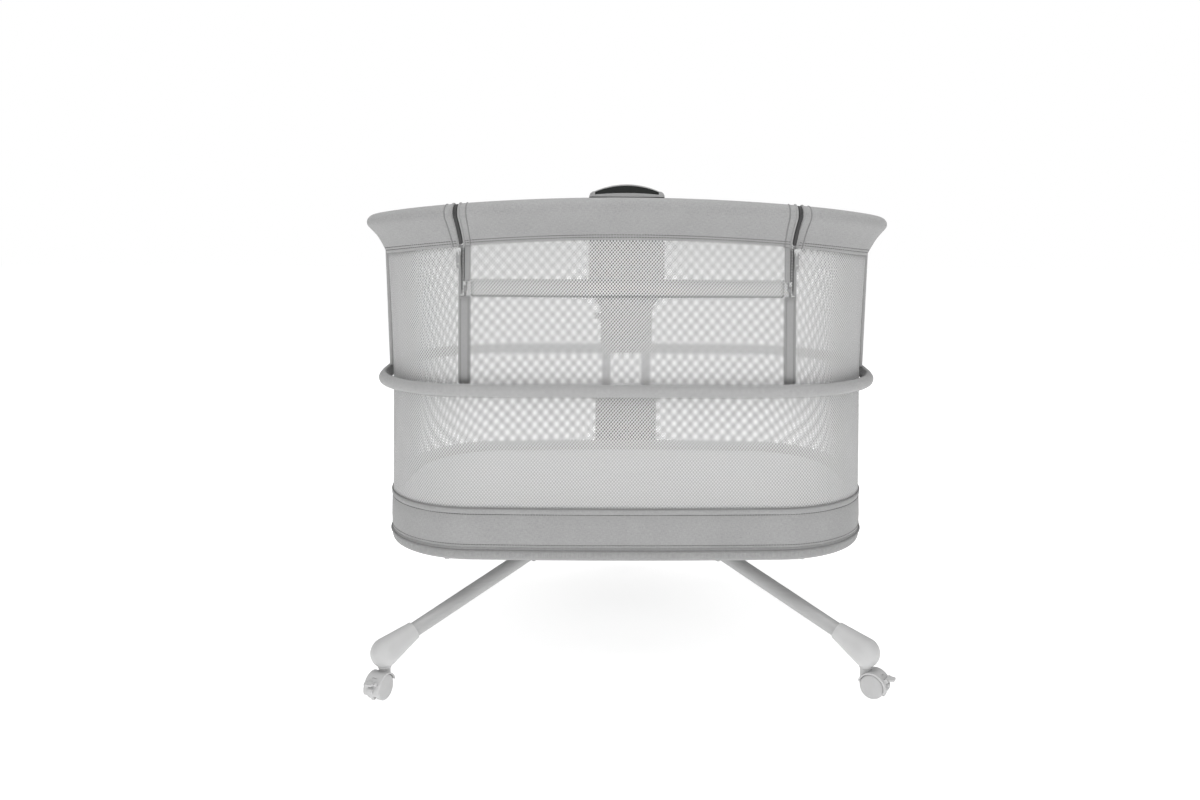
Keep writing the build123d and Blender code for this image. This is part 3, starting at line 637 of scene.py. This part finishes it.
CORNERS = ("front_left", "front_right", "rear_left", "rear_right")
SIDES = ((-1, "left"), (1, "right"))
LOOKS = {
    HUB: ("hub_shell", "hub_cover"),
    LEG: ("leg_tubes",),
    STEEL: ("rear_beam", "column_tubes", "ring_tube", "rail_tube", "flap_rail_tube"),
    COLUMN: (
        "column_block_front",
        "column_block_rear",
        "housing_front",
        "housing_rear",
        "ring_bracket",
        "rail_bracket",
    ),
    BLACK: ("tube_caps", "glide_bushes", "height_pin"),
    HEAD: ("head_dome",),
    PANEL: ("control_panel",),
    POST: ("side_posts",),
    ARM: ("front_posts", "flap_arms"),
    ZINC: ("hub_screws", "column_screws", "zip_slider_left", "zip_slider_right"),
    PULL: ("zip_pull_left", "zip_pull_right"),
    FOOT: [part + corner for part in ("foot_", "caster_hood_", "brake_pedal_") for corner in CORNERS],
    WHEEL: ["caster_wheels_" + corner for corner in CORNERS],
}
for look, names in LOOKS.items():
    for name in names:
        materials = nodes[name].data.materials
        if len(materials):
            materials[0] = look
        else:
            materials.append(look)


# ------------------------------------------------------------------ padded rail sleeves
SEAM_HEIGHTS = (0.0046, 0.0094)
SEAM_WIDTH = 0.0011
ARC_STEPS = 22
FACE_STEPS = 16
FACE_POINTS = FACE_STEPS - 1 + 3 * len(SEAM_HEIGHTS)
GAP_EASE = 0.0012


TIP_STEPS = 6
BACK_STEPS = 9
SEAM_DEPTH = 0.0008
FACE_SAG = 0.0016
BACK_SAG = 0.001
END_BULGE = 0.28


def between(first, second, t):
    return (first[0] + (second[0] - first[0]) * t, first[1] + (second[1] - first[1]) * t)


def wedge(s, swell=0.0):
    """Outline of the sleeve: round the rail tube, then down both sides to the hem."""
    lean_out = flare(s, HEM_Z - arch(s))
    hem = (-RAIL_OFFSET + 0.0006 + lean_out, -(RAIL_Z - HEM_Z) + HEM_RADIUS)
    reach = hypot(*hem)
    tilt = atan2(hem[1], hem[0])
    lean = (RAIL_RADIUS - HEM_RADIUS) / reach
    open_angle = pi / 2 - atan2(lean, sqrt(1 - lean**2))
    outer_angle = tilt + open_angle
    inner_angle = tilt - open_angle
    points = []
    for k in range(ARC_STEPS + 1):
        angle = inner_angle - (2 * pi - 2 * open_angle) * k / ARC_STEPS
        points.append((RAIL_RADIUS * cos(angle), RAIL_RADIUS * sin(angle)))
    outer_hem = (hem[0] + HEM_RADIUS * cos(outer_angle), hem[1] + HEM_RADIUS * sin(outer_angle))
    inner_hem = (hem[0] + HEM_RADIUS * cos(inner_angle), hem[1] + HEM_RADIUS * sin(inner_angle))
    length = hypot(points[-1][0] - outer_hem[0], points[-1][1] - outer_hem[1])
    line = [k / FACE_STEPS for k in range(1, FACE_STEPS)]
    for h in SEAM_HEIGHTS:
        line += [1 - (h + step) / length for step in (-SEAM_WIDTH, 0, SEAM_WIDTH)]
    line.sort()
    face = []
    for t in line:
        base = between(points[-1], outer_hem, t)
        depth = length * (1 - t)
        seam = sum(SEAM_DEPTH * np.exp(-(((depth - h) / (0.8 * SEAM_WIDTH)) ** 2)) for h in SEAM_HEIGHTS)
        sunk = FACE_SAG * sin(pi * t) - swell * sin(pi * t) ** 2
        inward = sunk + seam
        face.append((base[0] - inward * cos(outer_angle), base[1] - inward * sin(outer_angle)))
    tip = []
    for k in range(TIP_STEPS + 1):
        angle = outer_angle + (inner_angle - outer_angle) * k / TIP_STEPS
        tip.append((hem[0] + HEM_RADIUS * cos(angle), hem[1] + HEM_RADIUS * sin(angle)))
    back = []
    for k in range(BACK_STEPS - 1, 0, -1):
        t = k / BACK_STEPS
        base = between(points[0], inner_hem, t)
        sunk = BACK_SAG * sin(pi * t)
        back.append((base[0] - sunk * cos(inner_angle), base[1] - sunk * sin(inner_angle)))
    outline = points + face + tip + back
    drop = arch(s)
    bulge = 1 + END_BULGE * oval_at(s)[2] ** 2
    section = []
    travelled = 0.0
    last = outline[0]
    for x, z in outline:
        x = x * bulge if x > 0 else x
        travelled += hypot(x - last[0], z - last[1])
        last = (x, z)
        section.append((RAIL_OFFSET + x, RAIL_Z - drop + z, travelled))
    return section


def sleeve_section(s):
    return wedge(s, pucker(s))


fixed_ends = (S_FIXED + GAP_EASE, GIRTH - S_FIXED - GAP_EASE)
rail_sleeve = loft("rail_sleeve_cloth", *fixed_ends, SLEEVE_STEP, sleeve_section)
flap_sleeve = loft("flap_sleeve_cloth", -S_FLAP + GAP_EASE, S_FLAP - GAP_EASE, SLEEVE_STEP, sleeve_section)
crease_angle(rail_sleeve, 1.0)
crease_angle(flap_sleeve, 1.0)
finish_piece(rail_sleeve, "lift", SLEEVE)
finish_piece(flap_sleeve, "flap", SLEEVE)
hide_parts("rail_sleeve")
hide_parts("flap_rail_sleeve")


def sleeve_line(s, depth):
    """A point on the sleeve's outer face, depth above the hem, with its outward direction."""
    face = sleeve_section(s)[ARC_STEPS : ARC_STEPS + FACE_POINTS + 2]
    hem = face[-1]
    distances = [hypot(p[0] - hem[0], p[1] - hem[1]) for p in face]
    offset = float(np.interp(depth, distances[::-1], [p[0] for p in face][::-1]))
    z = float(np.interp(depth, distances[::-1], [p[1] for p in face][::-1]))
    _, _, nx, ny = oval_at(s)
    return place(s, offset, z), Vector((nx * 0.95, ny * 0.95, -0.25)).normalized()


STITCH_INSET = 0.004
HEM_THREAD = 0.0012
stitched_ends = (
    ("lift", S_FIXED + STITCH_INSET, GIRTH - S_FIXED - STITCH_INSET),
    ("flap", -S_FLAP + STITCH_INSET, S_FLAP - STITCH_INSET),
)
for body, start, end in stitched_ends:
    rows = []
    for height in SEAM_HEIGHTS:
        count = int((end - start) / LINE_STEP)
        line = [sleeve_line(start + (end - start) * k / count, height) for k in range(count + 1)]
        rows.append(stitches("hem_row", line, STITCH_PITCH, STITCH_LENGTH, HEM_THREAD))
    finish_piece(merge("hem_stitches_" + body, rows), body, THREAD_AND_SEAM_SHADE)


# ------------------------------------------------------------------ corded edges beside the zips
CORDS = (("edge", 0.0030, 0.0018, HEM_CLOTH), ("inner", 0.0125, 0.0011, PIPING_AND_EDGE_SHADE_CLOTH))


def edge_cord(name, s, radius, body, cloth):
    """A cord sewn round the sleeve at distance s."""
    points = [place(s, offset, z) for offset, z, _ in wedge(s)]
    finish_piece(tube(name, points, radius, 8, closed=True), body, cloth)


for sign, word in SIDES:
    for kind, inset, thick, cloth in CORDS:
        edge_cord("fixed_" + kind + "_cord_" + word, sign * (S_FIXED + inset), thick, "lift", cloth)
        edge_cord("flap_" + kind + "_cord_" + word, sign * (S_FLAP - inset), thick, "flap", cloth)


def gap_shade_sheet(name, sign):
    """Dark sheet recessed in the gap between the flap's sleeve and the fixed one: painted shade for the gap.
    """

    def section(s):
        rail = RAIL_Z - arch(s)
        shrunk = []
        for offset, z, v in wedge(s):
            shrunk.append((RAIL_OFFSET + (offset - RAIL_OFFSET) * 0.86 - 0.001, rail + (z - rail) * 0.94, v))
        return shrunk

    ends = sorted((sign * (S_FLAP + 0.0006), sign * (S_FIXED + GAP_EASE + 0.0004)))
    finish_piece(loft(name, *ends, 0.004, section), "lift", GAP_SHADE_CLOTH)


# Painted shade: a dark sheet recessed in each gap beside the zips.
for sign, word in SIDES:
    gap_shade_sheet("zip_gap_shade_" + word, sign)


# ------------------------------------------------------------------ ring sleeve
RING_SIDES = 24
RING_SEAM = (16, 17)
RING_SEAM_DEPTH = 0.0009
RING_SEAM_ANGLE = -1.55


def ring_section(s):
    """Round, with a shallow groove underneath along the seam."""
    section = []
    for k in range(RING_SIDES):
        angle = 2 * pi * k / RING_SIDES
        seam = RING_SEAM_DEPTH if k in RING_SEAM else 0.0
        radius = RING_RADIUS - seam + ripple(s + 0.01 * k, 0.00025, (0.06, 0.5), (0.11, 2.0))
        section.append((RING_OFFSET + radius * cos(angle), RING_Z + radius * sin(angle), RING_RADIUS * angle))
    return section


ring = loft("ring_sleeve_cloth", 0, GIRTH, BAND_STEP, ring_section, around=True)
finish_piece(ring, "lift", RING_CLOTH)
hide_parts("ring_sleeve")
ring_line = []
seam_out = RING_OFFSET + RING_RADIUS * cos(RING_SEAM_ANGLE)
seam_z = RING_Z + RING_RADIUS * sin(RING_SEAM_ANGLE)
for k in range(int(GIRTH / LINE_STEP)):
    s = LINE_STEP * k
    _, _, nx, ny = oval_at(s)
    ring_line.append((place(s, seam_out, seam_z), Vector((nx * 0.2, ny * 0.2, -1)).normalized()))
ring_stitches = stitches("ring_stitches", ring_line, 0.005, 0.0034, 0.0008)
finish_piece(ring_stitches, "lift", THREAD_AND_SEAM_SHADE)


# ------------------------------------------------------------------ mesh walls
MESH_SWELL = 0.0006
MESH_LAP = 0.003
SPAN_ABOVE_BAND = 0.44


def hem_height(s):
    return HEM_Z - arch(s) + 0.002


def mesh_shape(s, z):
    """Flare towards the rail plus the slight unevenness of stretched mesh."""
    rise = min(1, max(0, (z - BAND_TOP) / SPAN_ABOVE_BAND))
    return flare(s, z) + ripple(s + z * 0.3, MESH_SWELL, (0.19, 1.0), (0.33, 2.5)) * sin(pi * rise)


def mesh_panel(name, start, end, low, high, body, *cad):
    section = panel_section(low, high, MESH_INNER, MESH_OUTER, 18, mesh_shape)
    panel = loft(name, start, end, MESH_STEP, section)
    finish_piece(panel, body, MESH)
    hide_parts(*cad)
    tall = height_at(high, 0.5 * (start + end)) - low


mesh_low = BAND_TOP - 0.004
lower_section = panel_section(mesh_low, RING_Z, MESH_INNER, MESH_OUTER, 12, mesh_shape)
lower = loft("mesh_cloth_lower", 0, GIRTH, MESH_STEP, lower_section, around=True)
finish_piece(lower, "lift", MESH)
FOLD_LOW = PIVOT_Z - FOLD_GAP
FOLD_HIGH = PIVOT_Z + FOLD_GAP
fixed_start = S_FIXED - MESH_LAP
front_end = S_FLAP - MESH_LAP
flap_end = S_FLAP - 0.001
behind = ("mesh_right", "mesh_left", "mesh_rear")
mesh_panel("mesh_cloth_upper", fixed_start, GIRTH - fixed_start, RING_Z, hem_height, "lift", *behind)
mesh_panel("mesh_cloth_front", -front_end, front_end, RING_Z, FOLD_LOW, "lift", "mesh_front")
mesh_panel("mesh_cloth_flap", -flap_end, flap_end, FOLD_HIGH, hem_height, "flap", "flap_mesh")


# ------------------------------------------------------------------ strip behind the hinge line
strip_section = panel_section(strip_low[2], strip_high[2], STRIP_INNER, STRIP_OUTER, 6)
strip = loft("hinge_strip_cloth", -S_TAPE_IN, S_TAPE_IN, MESH_STEP, strip_section)
finish_piece(strip, "lift", STRIP_CLOTH)
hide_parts("hinge_strip")


# ------------------------------------------------------------------ fabric band, tray and piping
# (height, how far the cloth stands out): a soft belly, a stitched groove and a bound top edge.
BAND_PROFILE = (
    (TRAY_TOP, 0.0004),
    (TRAY_TOP + 0.0040, 0.0010),
    (TRAY_TOP + 0.0190, 0.0018),
    (TRAY_TOP + 0.0360, 0.0016),
    (BAND_TOP - 0.0115, 0.0012),
    (BAND_TOP - 0.0100, 0.0002),
    (BAND_TOP - 0.0085, 0.0014),
    (BAND_TOP - 0.0060, 0.0020),
    (BAND_TOP - 0.0026, 0.0019),
    (BAND_TOP - 0.0010, 0.0014),
    (BAND_TOP + 0.0004, 0.0004),
)
BAND_INNER = -0.0012
BAND_GROOVE = BAND_TOP - 0.0100


def band_section(s):
    wrinkle = ripple(s, 0.0005, (0.13, 0.2), (0.29, 1.1), (0.071, 3.0))
    last = len(BAND_PROFILE) - 1
    outer = [(out + wrinkle * sin(pi * k / last), z, z) for k, (z, out) in enumerate(BAND_PROFILE)]
    inner = [(BAND_INNER, z, z) for z, _ in reversed(BAND_PROFILE)]
    return outer + inner


band = loft("band_cloth_wall", 0, GIRTH, BAND_STEP, band_section, around=True)
finish_piece(band, "lift", BAND_CLOTH)
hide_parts("fabric_band")


TRAY_CURVE = 0.008
TRAY_OUT = 0.0006
TRAY_RIM = -0.04


def tray_section(_):
    """The tray's covered edge, the same all round: top, side, rounded lower edge and underside."""
    section = [(-0.012, TRAY_TOP, 0.0), (0.0, TRAY_TOP, 0.012), (TRAY_OUT, TRAY_TOP - 0.003, 0.016)]
    for k in range(8):
        angle = -pi / 2 * k / 7
        out = TRAY_CURVE * cos(angle) - TRAY_CURVE + TRAY_OUT
        section.append((out, TRAY_BOTTOM + TRAY_CURVE + TRAY_CURVE * sin(angle), 0.018 - TRAY_CURVE * angle))
    section.append((TRAY_RIM, TRAY_BOTTOM, 0.07))
    section.append((TRAY_RIM, TRAY_TOP, 0.09))
    return section


tray = loft("tray_cloth", 0, GIRTH, BAND_STEP, tray_section, around=True)
finish_piece(tray, "lift", UNDER_CLOTH)
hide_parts("base_tray")


def plate(name, offset, low, high, material, slot_name, body):
    """A flat board filling the oval between two heights."""
    count = 160
    outline = [place(GIRTH * k / count, offset, 0) for k in range(count)]
    vertices = []
    for z in (low, high):
        for shrink in (1.0, 0.66, 0.33):
            for p in outline:
                vertices.append((p.x * shrink, BASKET_Y + (p.y - BASKET_Y) * shrink, z))
        vertices.append((0, BASKET_Y, z))
    faces = []
    layer = 3 * count + 1
    for side in (0, 1):
        base = side * layer
        for loop in range(2):
            for k in range(count):
                j = (k + 1) % count
                a = base + loop * count
                faces.append((a + k, a + j, a + count + j, a + count + k))
        for k in range(count):
            j = (k + 1) % count
            faces.append((base + 2 * count + k, base + 2 * count + j, base + 3 * count))
    for k in range(count):
        j = (k + 1) % count
        faces.append((k, j, layer + j, layer + k))
    uvs = [[(vertices[v][0], vertices[v][1]) for v in face] for face in faces]
    obj = make_object(name, vertices, faces, uvs)
    tidy_normals(obj)
    crease_angle(obj)
    return finish_piece(obj, body, material)


underside = (TRAY_BOTTOM + 0.0004, TRAY_TOP - 0.002)
plate("tray_underside", TRAY_RIM + 0.001, *underside, UNDER_CLOTH, "band_fabric", "lift")


def cord_round(name, offset, z, radius, points=420):
    """A closed cord round the whole basket."""
    return tube(name, [place(GIRTH * k / points, offset, z) for k in range(points)], radius, 8, closed=True)


piping = cord_round("bottom_piping_cord", 0.0016, TRAY_TOP - 0.0055, 0.0021)
finish_piece(piping, "lift", PIPING_AND_EDGE_SHADE_CLOTH)
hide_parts("bottom_piping")
# A cord along the band's top edge; its dark piping cloth is painted shade for the shadow line there.
top_edge_shade_cord = cord_round("band_top_edge_shade_cord", 0.0012, BAND_TOP - 0.0004, 0.0013)
finish_piece(top_edge_shade_cord, "lift", PIPING_AND_EDGE_SHADE_CLOTH)
BAND_THREAD = 0.0009
band_rows = []
for height, out in ((BAND_GROOVE, 0.0007), (TRAY_TOP + 0.0045, 0.0011)):
    line = []
    for k in range(int(GIRTH / LINE_STEP)):
        _, _, nx, ny = oval_at(LINE_STEP * k)
        line.append((place(LINE_STEP * k, out, height), Vector((nx, ny, 0))))
    band_rows.append(stitches("band_row", line, STITCH_PITCH, STITCH_LENGTH, BAND_THREAD))
finish_piece(merge("band_stitches", band_rows), "lift", THREAD_AND_SEAM_SHADE)


# ------------------------------------------------------------------ mattress
QUILT_PITCH = 0.085
QUILT_WIDTH = 0.0055
QUILT_DEPTH = 0.0016
PAD_EDGE = 0.012
PAD_CROWN = 0.002
PAD_REACH = 0.42
PAD_BASE = TRAY_TOP + 0.0005


def pad_height(t, x, y):
    """Height of the pad's top at (x, y), t of the way from the middle to the edge."""
    inset = (1 - t) * PAD_REACH
    roll = PAD_EDGE - sqrt(max(0, PAD_EDGE**2 - max(0, PAD_EDGE - inset) ** 2))
    channel = 0.0
    for direction in (1, -1):
        phase = (x + direction * (y - BASKET_Y)) / QUILT_PITCH
        channel += QUILT_DEPTH * np.exp(-(((phase - round(phase)) * QUILT_PITCH / QUILT_WIDTH) ** 2))
    return MATTRESS_TOP - 0.0022 - roll + PAD_CROWN * (1 - t**4) - (channel if inset > PAD_EDGE else 0)


def mattress_pad():
    """A firm pad with a crowned, diamond-quilted top and a rounded edge."""
    count = 200
    loops = [1.0] + [1.0 - 0.012 * k for k in range(1, 7)] + [0.92 - 0.046 * k for k in range(19)] + [0.02]
    outline = [place(GIRTH * k / count, -0.006, 0) for k in range(count)]
    vertices = []
    for t in loops:
        for p in outline:
            x = p.x * t
            y = BASKET_Y + (p.y - BASKET_Y) * t
            vertices.append((x, y, pad_height(t, x, y)))
    top_rows = len(loops)
    lower_loops = (
        (TRAY_TOP + (MATTRESS_TOP - TRAY_TOP) * 0.55, 1.003),
        (TRAY_TOP + 0.010, 1.0),
        (TRAY_TOP + 0.003, 0.992),
        (PAD_BASE, 0.975),
        (PAD_BASE, 0.5),
        (PAD_BASE, 0.02),
    )
    for z, shrink in lower_loops:
        for p in outline:
            vertices.append((p.x * shrink, BASKET_Y + (p.y - BASKET_Y) * shrink, z))
    faces = []

    def bridge(first, second):
        for k in range(count):
            j = (k + 1) % count
            faces.append((first * count + k, first * count + j, second * count + j, second * count + k))

    for row in range(top_rows - 1):
        bridge(row, row + 1)
    bridge(0, top_rows)
    final = top_rows + len(lower_loops) - 1
    for row in range(top_rows, final):
        bridge(row, row + 1)
    for row in (top_rows - 1, final):
        faces.append(tuple(row * count + k for k in range(count)))
    uvs = [[(vertices[v][0], vertices[v][1] + vertices[v][2]) for v in face] for face in faces]
    obj = make_object("mattress_pad", vertices, faces, uvs)
    tidy_normals(obj)
    return obj


mattress = mattress_pad()
finish_piece(mattress, "lift", MATTRESS)
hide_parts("mattress")
pad_cord = cord_round("mattress_piping", -0.0072, MATTRESS_TOP - 0.0125, 0.0019, 300)
finish_piece(pad_cord, "lift", MATTRESS)


# ------------------------------------------------------------------ zips and tapes
TAPE_LOW = RING_Z + RING_RADIUS - 0.001
TAPE_STEP = 0.0035
TAPE_SEAM_INSET = 0.0035
LEAST_SHEET = 0.01
TOOTH_PITCH = 0.0018
TOOTH_HALF = 0.0013
TOOTH_RADIUS = 0.00055
STOP_HALF = 0.003
STOP_RADIUS = 0.0011


def tape(name, start, end, low, high, body, *cad):
    section = panel_section(low, high, TAPE_INNER_FACE, TAPE_OUTER_FACE, 10)
    piece = loft(name, min(start, end), max(start, end), TAPE_STEP, section)
    finish_piece(piece, body, TAPE_CLOTH)
    if cad:
        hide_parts(*cad)
    width = abs(end - start)
    if width > LEAST_SHEET:
        size = (width, height_at(high, start) - low)


def tape_stitches(name, sign):
    """Two rows of stitches down the lower tape."""
    rows = []
    count = int((FOLD_LOW - TAPE_LOW) / LINE_STEP)
    for s in (S_TAPE_IN + TAPE_SEAM_INSET, S_TAPE_OUT - TAPE_SEAM_INSET):
        line = [(place(sign * s, 0.0014, TAPE_LOW + LINE_STEP * k), Vector((0, -1, 0))) for k in range(count)]
        rows.append(stitches("tape_row", line, 0.0042, 0.003, 0.0007))
    finish_piece(merge(name, rows), "lift", THREAD_AND_SEAM_SHADE)


def zip_teeth(name, body, s, low):
    """A column of teeth up to just below the rail's hem."""
    high = HEM_Z - arch(s) - 0.002
    teeth = []
    for k in range(int((high - low) / TOOTH_PITCH)):
        centre = place(s, 0.0019, low + TOOTH_PITCH * k)
        bent = ((-TOOTH_HALF, 0, -0.0003), (0, -0.0006, 0), (TOOTH_HALF, 0, 0.0003))
        teeth.append(tube("tooth", [centre + Vector(step) for step in bent], TOOTH_RADIUS, 6))
    finish_piece(merge(name, teeth), body, COIL)


def zip_stop(name, s):
    middle = place(s, 0.002, FOLD_LOW + 0.0015)
    half = Vector((STOP_HALF, 0, 0))
    finish_piece(tube(name, [middle - half, middle + half], STOP_RADIUS, 8), "lift", ZINC)


for sign, word in SIDES:
    fixed_node = ("zip_tapes",) if sign > 0 else ()
    flap_node = ("flap_zip_tapes",) if sign > 0 else ()
    inner, outer = sign * S_TAPE_IN, sign * S_TAPE_OUT
    tape("zip_tape_lower_" + word, inner, outer, TAPE_LOW, FOLD_LOW, "lift", *fixed_node)
    tape("zip_tape_upper_" + word, sign * (S_FLAP + 0.001), outer, FOLD_LOW, hem_height, "lift")
    tape("flap_tape_" + word, inner, sign * (S_FLAP - 0.0008), FOLD_HIGH, hem_height, "flap", *flap_node)
    tape_stitches("tape_stitches_" + word, sign)
    zip_teeth("zip_teeth_lift_" + word, "lift", sign * (S_FLAP + 0.0018), FOLD_LOW + 0.010)
    zip_teeth("zip_teeth_flap_" + word, "flap", sign * (S_FLAP - 0.0016), FOLD_LOW + 0.026)
    zip_stop("zip_stop_" + word, sign * (S_FLAP + 0.0018))


# ------------------------------------------------------------------ floor, light and camera
FLOOR_HALF = 14
FLOOR_TONE = 0.8
SHADE_FROM, SHADE_TO = 0.1, 0.6
SHADE_GLOW, OPEN_GLOW = 0.6, 0.75
SURROUND_FILL = 0.32
# (name, place, height aimed at, size, watts)
LIGHTS = (
    ("overhead", (0.0, -0.7, 3.0), 0.4, 2.6, 54),
    ("front_left", (-1.7, -3.2, 1.7), 0.5, 1.8, 19),
    ("front_right", (1.7, -3.2, 1.7), 0.5, 1.8, 19),
    ("rear", (0.0, 3.4, 1.8), 0.5, 2.4, 22),
)


def studio_floor():
    """Pale floor with a glow of its own, weaker under the stand, so the shade there is partly painted."""
    vertices = [(x * FLOOR_HALF, y * FLOOR_HALF, 0) for x, y in ((-1, -1), (1, -1), (1, 1), (-1, 1))]
    floor = make_object("studio_floor", vertices, [(0, 1, 2, 3)], [[(0, 0), (1, 0), (1, 1), (0, 1)]])
    n = Nodes("floor_white")
    away = n.add("ShaderNodeVectorMath", {0: n.object()}, operation="LENGTH").outputs["Value"]
    n.shader.inputs["Base Color"].default_value = grey(FLOOR_TONE)
    n.shader.inputs["Roughness"].default_value = 0.9
    n.shader.inputs["Emission Color"].default_value = grey(1)
    n.feed(n.shader.inputs["Emission Strength"], n.ranged(away, SHADE_FROM, SHADE_TO, SHADE_GLOW, OPEN_GLOW))
    floor.data.materials.append(n.material)


def area_light(name, location, aim, size, power):
    """A square soft light aimed at height aim over the middle."""
    data = bpy.data.lights.new(name, "AREA")
    data.shape = "SQUARE"
    data.size = size
    data.energy = power
    light = bpy.data.objects.new(name, data)
    bpy.context.scene.collection.objects.link(light)
    light.location = location
    light.rotation_euler = (Vector((0, 0, aim)) - Vector(location)).to_track_quat("-Z", "Y").to_euler()


def white_surroundings(fill):
    """White all round to the eye, and a softer fill as light."""
    world = bpy.data.worlds.new("studio")
    bpy.context.scene.world = world
    world.use_nodes = True
    tree = world.node_tree
    path = tree.nodes.new("ShaderNodeLightPath")
    strength = tree.nodes.new("ShaderNodeMapRange")
    strength.inputs["To Min"].default_value = fill
    strength.inputs["To Max"].default_value = 1.0
    tree.links.new(path.outputs["Is Camera Ray"], strength.inputs["Value"])
    tree.nodes["Background"].inputs["Color"].default_value = (1, 1, 1, 1)
    tree.links.new(strength.outputs["Result"], tree.nodes["Background"].inputs["Strength"])


studio_floor()
white_surroundings(SURROUND_FILL)
for settings in LIGHTS:
    area_light(*settings)
bpy.context.scene.view_settings.view_transform = "Standard"

CAMERA_AT = Vector((-0.009, -2.0475, 0.7875))
CAMERA_YAW = -0.0130
CAMERA_PITCH = 0.0173
CAMERA_ROLL = 0.0053
SENSOR_MM = 36
LENS_MM = 31.37
SHIFT = (-0.0302, -0.1376)


def aim_camera():
    data = bpy.data.cameras.new("camera")
    data.sensor_width = SENSOR_MM
    data.lens = LENS_MM
    data.shift_x, data.shift_y = SHIFT
    camera = bpy.data.objects.new("camera", data)
    bpy.context.scene.collection.objects.link(camera)
    turn = Matrix.Rotation(CAMERA_YAW, 4, "Z")
    turn = turn @ Matrix.Rotation(pi / 2 - CAMERA_PITCH, 4, "X")
    turn = turn @ Matrix.Rotation(CAMERA_ROLL, 4, "Z")
    camera.matrix_world = Matrix.Translation(CAMERA_AT) @ turn
    bpy.context.scene.camera = camera


aim_camera()
